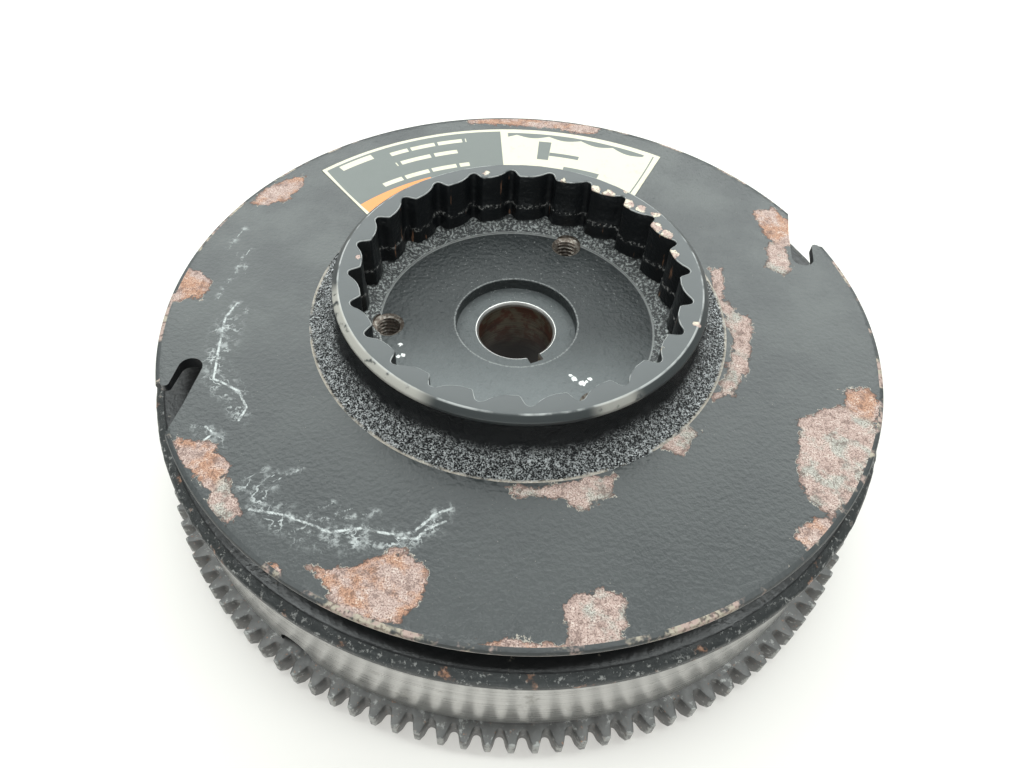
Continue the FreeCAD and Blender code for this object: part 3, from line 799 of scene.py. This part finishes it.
def casting_rows():
    """Rows of the casting's section as (radius, height, finish that follows, wall row or None)."""
    s = sizes()
    disc, flange, groove = s.disc_radius / MM, s.flange_radius / MM, s.groove_radius / MM
    shoulder, band = s.shoulder_radius / MM, s.band_radius / MM
    crown, neck, foot = s.crown_radius / MM, s.neck_radius / MM, s.foot_radius / MM
    floor, recess, bore = s.floor_radius / MM, s.recess_radius / MM, s.bore_radius / MM
    top = DISC_Z
    gear_top = GEAR_HIGH.z / MM
    outside = [
        (RIM_OUTSIDE - 1.0, 0.0, 0.3, "underside_paint"), (RIM_OUTSIDE, 1.0, 0.2, "underside_paint"),
        (RIM_OUTSIDE, gear_top, 0, "underside_paint"), (band, gear_top, 0, "band_metal"),
        (band, gear_top + 16, 0, "band_metal"), (band, top - SHOULDER_LOW - 0.6, 0.25, "shoulder_paint"),
        (shoulder, top - SHOULDER_LOW, 0.4, "shoulder_paint"),
        (shoulder, top - SHOULDER_BEND, 0.8, "shoulder_paint"),
    ]
    for inward, drop in ((0.9, 12.7), (1.7, 12.3), (2.4, 12.0)):
        outside.append((shoulder - inward, top - drop, 0, "shoulder_paint"))
    outside += [
        (shoulder - 3.1, top - SHOULDER_TOP, 0.4, "groove_paint"), (groove, top - 9.4, 1.2, "groove_paint"),
        (groove, top - 4.8, 1.2, "groove_paint"), (flange, top - 2.0, 0.4, "flange_edge"),
        (flange, top - 0.8, 0, "flange_edge"), (flange - 0.3, top - 0.3, 0, "flange_edge"),
        (disc - 0.3, top, 0, "disc_paint"),
    ]
    disc_end = foot + 1.2
    for radius in np.linspace(disc - 1.8, disc_end, DISC_ROWS):
        outside.append((radius, top, 0, "disc_paint"))
    neck_rows = []
    for t in np.linspace(0.0, 1.0, NECK_ROWS):
        bend = Vector((disc_end, top)) * (1 - t) ** 3 + Vector((foot - 3.6, top)) * (3 * t * (1 - t) ** 2)
        bend += Vector((neck, top + 2.6)) * (3 * t * t * (1 - t)) + Vector((neck, top + 9.0)) * t ** 3
        neck_rows.append((bend.x, bend.y, 0, "cast_paint"))
    ring = [
        (neck, CROWN_Z - 3.3, 0.3, "ring_paint"), (crown, CROWN_Z - 2.6, 0.3, "ring_paint"),
        (crown, CROWN_Z - 1.6, 0.35, "ring_paint"), (crown - 2.0, CROWN_Z, 0.3, "ring_paint"),
    ]
    inside = [
        (floor, top - CUP_DEPTH + 0.6, 0.2, "floor_paint"), (floor, top - CUP_DEPTH, 0.2, "floor_paint"),
        (recess, top - CUP_DEPTH, 0.4, "floor_paint"), (recess, top - RECESS_DEPTH, 0.3, "floor_paint"),
        (bore + 0.8, top - RECESS_DEPTH, 0.15, "bore_metal"),
        (bore, top - RECESS_DEPTH - 0.8, 0.15, "bore_metal"),
        (bore, top - RECESS_DEPTH - 6.0, 0, "bore_metal"),
    ]
    beneath = [
        (bore + 1.8, HUB_FOOT, 0.3), (HUB_RADIUS - 1.5, HUB_FOOT, 0.3), (HUB_RADIUS, HUB_FOOT + 1.5, 0.3),
        (HUB_RADIUS, top - 17.5, 1.5), (54.0, top - 17.5, 1.5), (62.0, top - 9.5, 2.0),
        (95.0, top - 9.5, 2.0), (STOP_RADIUS, 42.0, 1.0), (STOP_RADIUS, BAY_TOP, 0),
        (BAY_RADIUS, BAY_TOP, 0), (BAY_RADIUS, RETAINER_SEAT, 0), (RIM_INSIDE, RETAINER_SEAT, 0),
        (RIM_INSIDE, 0.0, 0.3),
    ]
    inside += [(*corner, "underside_paint") for corner in beneath]
    wall = []
    for index, (z, off, follow, finish) in enumerate(WALL_ROWS):
        wall.append((floor + (land_mm() - floor) * follow + off, z, 0, finish, index))
    plain = [[(*corner, None) for corner in part] for part in (outside[:-1] + neck_rows + ring, inside)]
    return eased(plain[0] + wall + plain[1])


def land_mm():
    return sizes().land_radius / MM


def pocket_outline(columns):
    """The saw-like pocket outline as one point for each column, and its outward direction."""
    land = land_mm()
    pitch = 360.0 / sizes().pocket_count
    points = []
    for column in range(columns):
        pocket, k = divmod(column + COLUMN_SHIFT, COLUMNS_PER_POCKET)
        angle, depth = POCKET_FORM[k]
        turn = math.radians(POCKET_FIRST_ANGLE + pocket * pitch + angle)
        points.append(((land + depth) * math.cos(turn), (land + depth) * math.sin(turn)))
    points = np.array(points)
    along = np.roll(points, -1, 0) - np.roll(points, 1, 0)
    outward = np.stack([along[:, 1], -along[:, 0]], 1)
    return points, outward / np.linalg.norm(outward, axis=1)[:, None]


def shape_casting(piece, rows):
    """Gives each face its finish, lays the cup wall on the pocket form and roughens the cast faces."""
    noise.seed_set(CAST_SEED)
    mesh = piece.data
    columns = COLUMNS_PER_POCKET * sizes().pocket_count
    co = np.empty(len(mesh.vertices) * 3)
    mesh.vertices.foreach_get("co", co)
    co = co.reshape(-1, 3) / MM
    section = np.stack([np.hypot(co[:, 0], co[:, 1]), co[:, 2]], 1)
    nominal = np.array([row[:2] for row in rows])
    row_of = np.argmin(((section[:, None] - nominal[None]) ** 2).sum(2), 1)
    turn = np.arctan2(co[:, 1], co[:, 0])
    column_of = np.round(turn / (2 * math.pi / columns)).astype(int) % columns

    order = {name: i for i, name in enumerate(FINISHES)}
    corner_rows = np.empty(len(mesh.loops), int)
    mesh.loops.foreach_get("vertex_index", corner_rows)
    corner_rows = row_of[corner_rows]
    finish = []
    for polygon in mesh.polygons:
        span = corner_rows[polygon.loop_start:polygon.loop_start + polygon.loop_total]
        low, high = span.min(), span.max()
        finish.append(order[rows[high if high - low > 1 else low][2]])
    mesh.polygons.foreach_set("material_index", finish)

    points, outward = pocket_outline(columns)
    floor = sizes().floor_radius / MM
    for vertex, (row, column) in enumerate(zip(row_of, column_of)):
        wall = rows[row][3]
        if wall is not None:
            _, off, follow, _ = WALL_ROWS[wall]
            ring = points[column] + outward[column] * off
            plain = np.array([math.cos(turn[vertex]), math.sin(turn[vertex])]) * floor
            co[vertex, :2] = ring * follow + plain * (1 - follow)
        _, height, coat, _ = rows[row]
        if coat == "shoulder_paint" and height > DISC_Z - SHOULDER_BEND - 0.4:
            roughen(co[vertex], *SHOULDER_CAST)
        elif coat == "cast_paint" and height > DISC_Z + 0.05:
            roughen(co[vertex], *NECK_CAST)
        elif wall is not None and wall > 6:
            roughen(co[vertex], *LEDGE_CAST)
        elif wall is not None and wall > 3:
            roughen(co[vertex], *WALL_CAST)
    mesh.vertices.foreach_set("co", (co * MM).ravel())
    mesh.update()


def roughen(point, amount, grain):
    """Moves a point by up to amount millimetres in the manner of a sand casting."""
    push = noise.noise_vector(Vector(point) / grain) * amount
    point += np.array(push)


def notch_cutter(angle):
    """Hooked slot that holds the knot of a starting rope."""
    turn = Matrix.Rotation(math.radians(angle), 3, "Z")
    pocket_x, pocket_y, pocket_radius = 99.6, 35.0, 3.8
    hook_x, hook_y, hook_radius = 105.4, 41.6, 1.4
    mouth = [(124.0, 44.0), (124.0, 66.0), (99.8, 66.0), (97.2, 50.0)]
    bottom = DISC_Z - 7.4
    points = []
    for t in np.linspace(math.pi, 2 * math.pi, 13):
        points.append((pocket_x + pocket_radius * math.cos(t), pocket_y + pocket_radius * math.sin(t)))
    for t in np.linspace(math.pi, 0.15 * math.pi, 8):
        points.append((hook_x + hook_radius * math.cos(t), hook_y + hook_radius * math.sin(t)))
    points += mouth
    piece = draw_line("notch_cutter", [turn @ Vector((x, y, bottom)) for x, y in points])
    bpy.ops.mesh.select_all(action="SELECT")
    bpy.ops.mesh.edge_face_add()
    bpy.ops.mesh.extrude_region_move(TRANSFORM_OT_translate={"value": (0, 0, 12 * MM)})
    close_skin()
    return piece


def puller_cutter(angle):
    """Threaded hole with a small countersink at its mouth."""
    mouth = DISC_Z - CUP_DEPTH
    above = mouth + 4.0
    pitch = 25.4 / 16
    crest, root, sink = 4.0, 4.75, 5.3
    sink_depth = 0.8
    far_end = 38.0
    section = [(0.0, above), (sink, above), (sink, mouth + 0.05), (4.3, mouth - sink_depth)]
    z = mouth - sink_depth
    while z > far_end:
        section += [(crest, z - 0.1 * pitch), (root, z - 0.5 * pitch), (crest, z - 0.9 * pitch)]
        z -= pitch
    section += [(crest, z), (0.0, z)]
    piece = turned_cutter("puller_cutter", section, 40)
    turn = math.radians(angle)
    circle = sizes().puller_circle
    bpy.ops.transform.translate(value=(circle * math.cos(turn), circle * math.sin(turn), 0))
    bpy.ops.object.transform_apply(location=True)
    return piece


def keyway_cutter():
    """Straight slot along the bore."""
    reach = 16.0 * MM
    height = 40.0 * MM
    middle = 32.0 * MM
    turn = math.radians(KEYWAY_ANGLE)
    clear_selection()
    bpy.ops.mesh.primitive_cube_add(
        size=1.0, location=(reach / 2 * math.cos(turn), reach / 2 * math.sin(turn), middle),
        rotation=(0, 0, turn), scale=(reach, sizes().keyway_width, height))
    bpy.ops.object.transform_apply(location=True, rotation=True, scale=True)
    return bpy.context.object


def balance_cutter():
    """Drilled balance hole in the bare band, with the cone of the drill at its end."""
    hole_radius, point, shoulder, outside = 6.1, 111.6, 114.2, 124.0
    height = 11.8 * MM
    section = [(0.0, point), (hole_radius, shoulder), (hole_radius, outside), (0.0, outside)]
    piece = turned_cutter("balance_cutter", section, 48)
    turn = Matrix.Rotation(math.radians(BALANCE_ANGLE), 4, "Z") @ Matrix.Rotation(math.radians(90), 4, "Y")
    piece.matrix_world = Matrix.Translation((0, 0, height)) @ turn
    activate(piece)
    bpy.ops.object.transform_apply(location=True, rotation=True)
    return piece


def cut_casting(piece, finishes):
    """Cuts the rope slots, the threaded holes, the keyway and the balance hole in one go."""
    cutters = [(notch_cutter(angle), "groove_paint") for angle in (0.0, 180.0)]
    cutters += [(puller_cutter(angle), "thread_metal") for angle in PULLER_ANGLES]
    cutters += [(keyway_cutter(), "bore_metal"), (balance_cutter(), "groove_paint")]
    for cutter, finish in cutters:
        take_finishes(cutter.data, finishes)
        polygons = cutter.data.polygons
        polygons.foreach_set("material_index", [FINISHES.index(finish)] * len(polygons))
    activate(cutters[0][0])
    for cutter, _ in cutters[1:]:
        cutter.select_set(True)
    bpy.ops.object.join()
    tool = bpy.context.object
    activate(piece)
    cut = piece.modifiers.new("cuts", "BOOLEAN")
    cut.operation = "DIFFERENCE"
    cut.solver = "MANIFOLD"
    cut.object = tool
    bpy.ops.object.modifier_apply(modifier=cut.name)
    bpy.data.objects.remove(tool)


class FLYWHEEL_OT_casting(bpy.types.Operator):
    """Turn the casting, form its ratchet pockets, cut its slots and holes, and paint it"""
    bl_idname = "flywheel.casting"
    bl_label = "Casting"

    def execute(self, context):
        finishes = [paint() for paint in PAINTERS.values()]
        rows = casting_rows()
        closed = rows + rows[:1]
        piece = draw_line("painted_casting", [(row[0], 0, row[1]) for row in closed])
        spin_line(COLUMNS_PER_POCKET * sizes().pocket_count)
        take_finishes(piece.data, finishes)
        shape_casting(piece, rows)
        cut_casting(piece, finishes)
        mark_wear(piece)
        smooth_shaded(piece, 32)
        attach(piece, "root")
        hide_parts("flywheel_casting")
        return {"FINISHED"}


# ------------------------------------------------------------------ ring gear
def paint_gear():
    """Dark hardened gear steel, greasy and speckled, paler on the worn crests."""
    c = colours()
    p = Paint("gear_steel")
    radius, _ = p.polar()
    grain = p.noise(1.2, 4.0, 0.65)
    cloud = p.noise(6.0, 3.0, 0.6)
    worn = p.smooth(p.noise(2.2, 4.0, 0.7) + p.smooth(radius, 123.0, 124.0) * 0.16, 0.56, 0.68)
    tone = p.mix(cloud, (0.08, 0.082, 0.082), (0.17, 0.165, 0.16))
    tone = p.mix(worn * 0.55, tone, (0.5, 0.5, 0.48))
    tone = p.mix(p.smooth(grain, 0.62, 0.7) * 0.5, tone, c.rust)
    return p.finish(Base_Color=tone, Metallic=0.35, Roughness=p.spread(grain, 0.32, 0.55),
                    Normal=p.relief(grain, 0.08))


GEAR_FIRST_GAP = -97.67
GEAR_CHAMFER = 2.0
GEAR_EDGE_WEAR = 0.28 * MM


def tooth_outline(half_pitch):
    """Half of one tooth's outline in plan: angle from its middle and radius."""
    root = sizes().gear_root_radius / MM
    tip = GEAR_HIGH.x / MM
    return [(half_pitch, root), (half_pitch - 0.3, root + 0.08), (half_pitch - 0.552, root + 0.6),
            (0.74, root + 2.6), (0.389, tip), (0.0, tip)]


class FLYWHEEL_OT_ring_gear(bpy.types.Operator):
    """Model one tooth of the ring gear, copy it round the ring and finish its worn edges"""
    bl_idname = "flywheel.ring_gear"
    bl_label = "Ring gear"

    def execute(self, context):
        count = sizes().tooth_count
        pitch = 360.0 / count
        middle = GEAR_FIRST_GAP + pitch / 2
        low, high = GEAR_LOW.z / MM, GEAR_HIGH.z / MM
        tip = GEAR_HIGH.x / MM
        half = tooth_outline(pitch / 2)
        plan = [(-a, r) for a, r in half] + [(a, r) for a, r in half[-2::-1]]
        plan += [(pitch / 2, RIM_OUTSIDE), (0.0, RIM_OUTSIDE), (-pitch / 2, RIM_OUTSIDE)]
        points = []
        for angle, radius in plan:
            turn = math.radians(middle + angle)
            points.append((radius * math.cos(turn), radius * math.sin(turn), low))
        piece = draw_line("toothed_ring", points)
        bpy.ops.mesh.select_all(action="SELECT")
        bpy.ops.mesh.edge_face_add()
        bpy.ops.mesh.extrude_region_move(TRANSFORM_OT_translate={"value": (0, 0, (high - low) * MM)})
        turn = math.radians(middle)
        out = Vector((math.cos(turn), math.sin(turn), 0))
        chamfer = out * (tip - GEAR_CHAMFER) * MM + Vector((0, 0, low * MM))
        bpy.ops.mesh.select_all(action="SELECT")
        bpy.ops.mesh.bisect(plane_co=chamfer, plane_no=(out - Vector((0, 0, 1))).normalized(),
                            use_fill=True, clear_outer=True)
        bpy.ops.mesh.select_all(action="SELECT")
        bpy.ops.mesh.normals_make_consistent(inside=False)
        self.open_sides(piece, middle, pitch)
        self.wear_edges(piece)
        bpy.ops.mesh.select_all(action="SELECT")
        bpy.ops.mesh.spin(steps=count - 1, dupli=True, angle=2 * math.pi * (count - 1) / count,
                          center=(0, 0, 0), axis=(0, 0, 1))
        close_skin()
        take_finishes(piece.data, [paint_gear()])
        smooth_shaded(piece, 30)
        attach(piece, "root")
        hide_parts("ring_gear")
        return {"FINISHED"}

    def open_sides(self, piece, middle, pitch):
        """Removes the two radial faces where the neighbouring teeth join on."""
        bpy.ops.mesh.select_mode(type="FACE")
        bpy.ops.mesh.select_all(action="DESELECT")
        bpy.ops.object.mode_set(mode="OBJECT")
        sides = [math.radians(middle + side * pitch / 2) for side in (-1, 1)]
        for polygon in piece.data.polygons:
            corners = [piece.data.vertices[i].co for i in polygon.vertices]
            polygon.select = any(all(abs(c.y * math.cos(t) - c.x * math.sin(t)) < 0.01 * MM for c in corners)
                                 for t in sides)
        bpy.ops.object.mode_set(mode="EDIT")
        bpy.ops.mesh.delete(type="FACE")

    def wear_edges(self, piece):
        """Bevels the sharp edges of the tooth, as wear has rounded them."""
        bpy.ops.mesh.select_mode(type="EDGE")
        bpy.ops.mesh.select_all(action="DESELECT")
        bpy.ops.mesh.edges_select_sharp(sharpness=math.radians(28))
        bpy.ops.object.mode_set(mode="OBJECT")
        for edge in piece.data.edges:
            ends = [piece.data.vertices[i].co for i in edge.vertices]
            if min(math.hypot(c.x, c.y) for c in ends) < sizes().gear_root_radius - 0.3 * MM:
                edge.select = False
        bpy.ops.object.mode_set(mode="EDIT")
        bpy.ops.mesh.bevel(offset=GEAR_EDGE_WEAR, segments=2)


# ------------------------------------------------------------------ carried-over CAD nodes
def dress(node_names, finish):
    """Puts a finish on CAD nodes that keep their shape."""
    for name in node_names:
        take_finishes(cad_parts[name].data, [finish])


def paint_ferrite(name):
    """Sintered ferrite with ground faces and a little brown dust."""
    c = colours()
    p = Paint(name)
    grain = p.noise(0.8, 3.0, 0.6)
    lines = p.noise(0.6, 2.0, place=p.stretch(1.0, 1.0, 0.05))
    dust = p.smooth(p.noise(8.0, 4.0, 0.7), 0.5, 0.7)
    tone = p.mix(p.spread(grain, 0.0, 0.5), c.ferrite, (0.14, 0.14, 0.145))
    tone = p.mix(dust * 0.35, tone, c.rust)
    return p.finish(Base_Color=tone, Roughness=p.spread(lines, 0.4, 0.65),
                    Normal=p.relief(grain + lines, 0.05))


def paint_plastic(name, tint, gloss):
    """Moulded plastic with a fine spark-eroded grain."""
    p = Paint(name)
    grain = p.noise(0.5, 2.0)
    dust = p.smooth(p.noise(6.0, 4.0, 0.7), 0.55, 0.75)
    tone = p.mix(dust * 0.3, tint, (0.2, 0.18, 0.16))
    return p.finish(Base_Color=tone, Roughness=p.spread(grain, gloss, gloss + 0.15),
                    Normal=p.relief(grain, 0.05))


def paint_sheet_metal(name, tint, grain_size, stain_amount):
    """Plated or rolled steel with fine lines and a few stains."""
    c = colours()
    p = Paint(name)
    lines = p.noise(grain_size, 3.0, place=p.stretch(1.0, 0.08, 1.0))
    stain = p.smooth(p.noise(5.0, 4.0, 0.7), 0.52, 0.7) * stain_amount
    tone = p.mix(p.spread(lines, 0.0, 0.3), tint, (0.3, 0.3, 0.3))
    tone = p.mix(stain, tone, c.rust)
    rough = p.spread(lines, 0.25, 0.45) + stain * 0.2
    return p.finish(Base_Color=tone, Metallic=1 - stain * 0.8, Roughness=rough, Normal=p.relief(lines, 0.02))


class FLYWHEEL_OT_magnets(bpy.types.Operator):
    """Finish the alternator magnets, their cage, and the screwed ring that holds them"""
    bl_idname = "flywheel.magnets"
    bl_label = "Alternator magnets"

    def execute(self, context):
        magnets = [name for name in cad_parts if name.startswith("charging_magnet")]
        dress(magnets, paint_ferrite("charging_ferrite"))
        dress(["magnet_cage"], paint_plastic("cage_plastic", colours().plastic, 0.38))
        dress(["magnet_retainer"], paint_sheet_metal("plated_steel", (0.55, 0.53, 0.44), 0.7, 0.6))
        dress(["retainer_screws"], paint_sheet_metal("screw_steel", (0.45, 0.45, 0.46), 0.4, 0.5))
        return {"FINISHED"}


class FLYWHEEL_OT_trigger(bpy.types.Operator):
    """Finish the trigger collar on the hub, its two magnets and the sleeve that holds them"""
    bl_idname = "flywheel.trigger"
    bl_label = "Ignition trigger"

    def execute(self, context):
        dress(["trigger_magnet_01", "trigger_magnet_02"], paint_ferrite("trigger_ferrite"))
        dress(["trigger_carrier"], paint_plastic("carrier_plastic", (0.05, 0.03, 0.022), 0.45))
        dress(["trigger_sleeve"], paint_sheet_metal("sleeve_steel", (0.62, 0.62, 0.61), 0.5, 0.3))
        return {"FINISHED"}


# ------------------------------------------------------------------ label
LABEL_DIVIDER = 96.3
LABEL_BORDER = 1.5
# Rows of plain bars: inner and outer radius in millimetres, first and last angle and beat in degrees.
LABEL_BARS = [
    (98.6, 101.0, 105.0, 123.5, 3.3), (91.4, 93.8, 108.0, 124.0, 4.4), (82.0, 84.4, 106.0, 131.0, 3.9),
]
# Blank plate on the dark panel, and plain blocks on the cream one: two radii and two angles each.
LABEL_PLATE = (100.6, 103.8, 127.5, 135.5)
LABEL_BLOCKS = [(86.0, 98.6, 84.6, 87.6), (89.0, 91.4, 77.0, 84.6), (80.0, 83.0, 70.0, 80.0)]


def paint_label():
    """Printed label: cream border, a dark panel with rows of plain bars, and a scalloped panel."""
    c = colours()
    p = Paint("label_print")
    radius, angle = p.polar(90.0)
    soft = 0.12
    arc = radius * (math.pi / 180)
    outer, deep = 106.5, 35.5
    left_side = 138.9 + (outer - radius) * (4.0 / deep)
    right_side = 60.0 - (outer - radius) * (3.4 / deep)
    from_left = (left_side - angle) * arc
    from_right = (angle - right_side) * arc
    ink = p.smooth(radius, 104.9 + soft, 104.9 - soft)
    ink = ink * p.smooth(from_left, LABEL_BORDER - soft, LABEL_BORDER + soft)
    ink = ink * p.smooth(from_right, LABEL_BORDER - soft, LABEL_BORDER + soft)
    left = p.smooth(angle, LABEL_DIVIDER + 0.35, LABEL_DIVIDER + 0.45)

    def patch(low, high, first, last):
        return p.within(radius, low, high, soft) * p.within(angle, first, last, 0.1)

    pale = patch(*LABEL_PLATE)
    for *corners, beat in LABEL_BARS:
        words = p.smooth(p.math("PINGPONG", angle, beat), beat * 0.10, beat * 0.13)
        pale = p.highest(pale, patch(*corners) * words)
    band = p.smooth(radius, 79.2 + soft, 79.2 - soft) * p.smooth(angle, 118.0, 118.2)

    waves = abs(p.math("SINE", (angle - 63.0) * 0.42)) * 2.0
    scallop = p.within(radius, 99.6, 103.9, soft) * p.smooth(radius + waves, 102.4, 102.7)
    marks = scallop * p.smooth(angle, 63.0, 63.4) * p.smooth(angle, 95.2, 94.8)
    marks = p.highest(marks, p.smooth(abs(from_right - 2.6), 0.35, 0.2))
    for corners in LABEL_BLOCKS:
        marks = p.highest(marks, patch(*corners))

    dirt = p.noise(3.0, 4.0, 0.7)
    paper = p.mix(p.smooth(dirt, 0.55, 0.75) * 0.35, c.label_paper, (0.35, 0.30, 0.22))
    tone = p.mix(ink * left, paper, c.label_dark)
    tone = p.mix(ink * left * pale, tone, paper)
    tone = p.mix(ink * left * band, tone, c.label_band)
    tone = p.mix(ink * (1 - left) * marks, tone, c.label_dark)
    return p.finish(Base_Color=tone, Roughness=p.spread(dirt, 0.3, 0.5), Normal=p.relief(dirt, 0.03))


class FLYWHEEL_OT_label(bpy.types.Operator):
    """Print the plain label on its sheet"""
    bl_idname = "flywheel.label"
    bl_label = "Label"

    def execute(self, context):
        dress(["label_sheet"], paint_label())
        return {"FINISHED"}


# ------------------------------------------------------------------ stage
LIGHT_COLOUR = (0.94, 1.0, 0.99)
ROOM_COLOUR = (0.98, 1.0, 0.97, 1.0)
# Soft lights: name, place, the point that they face, width, height, and share of the softbox power.
SOFTBOXES = [
    ("softbox_back", (0.0, 0.65, 0.72), (0, 0, 0.05), 1.9, 0.85, 1.0),
    ("softbox_front", (0.0, -0.95, 0.30), (0, 0, 0.03), 1.0, 0.3, 0.18),
    ("softbox_top", (0.0, -0.06, 1.0), (0, 0, 0.05), 1.9, 0.22, 0.6),
]
CAMERA_PLACE = (0.0, -0.1878, 0.2424)
CAMERA_YAW, CAMERA_PITCH, CAMERA_ROLL = (math.radians(angle) for angle in (-4.12, 50.17, 0.87))
CAMERA_SHIFT = (0.0358, 0.0026)


def area_light(name, place, aim, width, height, power):
    """Soft rectangular light at a place, turned to face a point."""
    data = bpy.data.lights.new(name, "AREA")
    data.shape = "RECTANGLE"
    data.size = width
    data.size_y = height
    data.energy = power
    data.color = LIGHT_COLOUR
    light = bpy.data.objects.new(name, data)
    light.location = place
    light.rotation_euler = (Vector(aim) - Vector(place)).to_track_quat("-Z", "Y").to_euler()
    bpy.context.scene.collection.objects.link(light)


class FLYWHEEL_OT_stage(bpy.types.Operator):
    """Lay the pale floor, hang the soft lights and set the camera"""
    bl_idname = "flywheel.stage"
    bl_label = "Stage"

    def execute(self, context):
        settings = context.scene.flywheel_stage
        self.lay_floor(settings)
        self.light_room(settings)
        self.set_camera(settings)
        context.scene.view_settings.view_transform = "Standard"
        return {"FINISHED"}

    def lay_floor(self, settings):
        clear_selection()
        bpy.ops.mesh.primitive_plane_add(size=settings.floor_size)
        floor = bpy.context.object
        floor.name = "floor"
        p = Paint("floor_board")
        tone = p.mix(p.noise(400.0), settings.floor_colour, (0.51, 0.50, 0.478))
        floor.data.materials.append(p.finish(Base_Color=tone, Roughness=0.6, Specular_IOR_Level=0.2,
                                              Emission_Color=tone, Emission_Strength=0.82))

    def light_room(self, settings):
        world = bpy.context.scene.world or bpy.data.worlds.new("room")
        bpy.context.scene.world = world
        world.use_nodes = True
        background = world.node_tree.nodes["Background"]
        background.inputs["Color"].default_value = ROOM_COLOUR
        background.inputs["Strength"].default_value = settings.sky
        for *shape, share in SOFTBOXES:
            area_light(*shape, settings.softbox * share)

    def set_camera(self, settings):
        data = bpy.data.cameras.new("camera")
        data.lens = settings.lens
        data.sensor_width = 36.0
        data.shift_x, data.shift_y = CAMERA_SHIFT
        data.clip_start = 0.01
        camera = bpy.data.objects.new("camera", data)
        level = math.cos(CAMERA_PITCH)
        ahead = Vector((math.sin(CAMERA_YAW) * level, math.cos(CAMERA_YAW) * level, -math.sin(CAMERA_PITCH)))
        right = Vector((math.cos(CAMERA_YAW), -math.sin(CAMERA_YAW), 0.0))
        up = right.cross(ahead)
        side = right * math.cos(CAMERA_ROLL) + up * math.sin(CAMERA_ROLL)
        above = up * math.cos(CAMERA_ROLL) - right * math.sin(CAMERA_ROLL)
        turn = Matrix((side, above, -ahead)).transposed().to_4x4()
        camera.matrix_world = Matrix.Translation(CAMERA_PLACE) @ turn
        bpy.context.scene.collection.objects.link(camera)
        bpy.context.scene.camera = camera


# ------------------------------------------------------------------ panel and registration
class VIEW3D_PT_flywheel(bpy.types.Panel):
    """Buttons and sizes of the flywheel"""
    bl_idname = "VIEW3D_PT_flywheel"
    bl_label = "Flywheel"
    bl_space_type = "VIEW_3D"
    bl_region_type = "UI"
    bl_category = "Flywheel"

    def draw(self, context):
        column = self.layout.column()
        for operator in OPERATORS:
            column.operator(operator.bl_idname)
        for group in (sizes(), colours(), context.scene.flywheel_stage):
            for name in group.__annotations__:
                column.prop(group, name)


OPERATORS = (FLYWHEEL_OT_casting, FLYWHEEL_OT_ring_gear, FLYWHEEL_OT_magnets, FLYWHEEL_OT_trigger,
             FLYWHEEL_OT_label, FLYWHEEL_OT_stage)
CLASSES = (FlywheelSizes, FlywheelColours, FlywheelStage, *OPERATORS, VIEW3D_PT_flywheel)


def register():
    for item in CLASSES:
        bpy.utils.register_class(item)
    bpy.types.Scene.flywheel_sizes = PointerProperty(type=FlywheelSizes)
    bpy.types.Scene.flywheel_colours = PointerProperty(type=FlywheelColours)
    bpy.types.Scene.flywheel_stage = PointerProperty(type=FlywheelStage)


def unregister():
    del bpy.types.Scene.flywheel_sizes
    del bpy.types.Scene.flywheel_colours
    del bpy.types.Scene.flywheel_stage
    for item in reversed(CLASSES):
        bpy.utils.unregister_class(item)


def main():
    register()
    bpy.ops.flywheel.casting()
    bpy.ops.flywheel.ring_gear()
    bpy.ops.flywheel.magnets()
    bpy.ops.flywheel.trigger()
    bpy.ops.flywheel.label()
    bpy.ops.flywheel.stage()


if __name__ == "__main__":
    main()
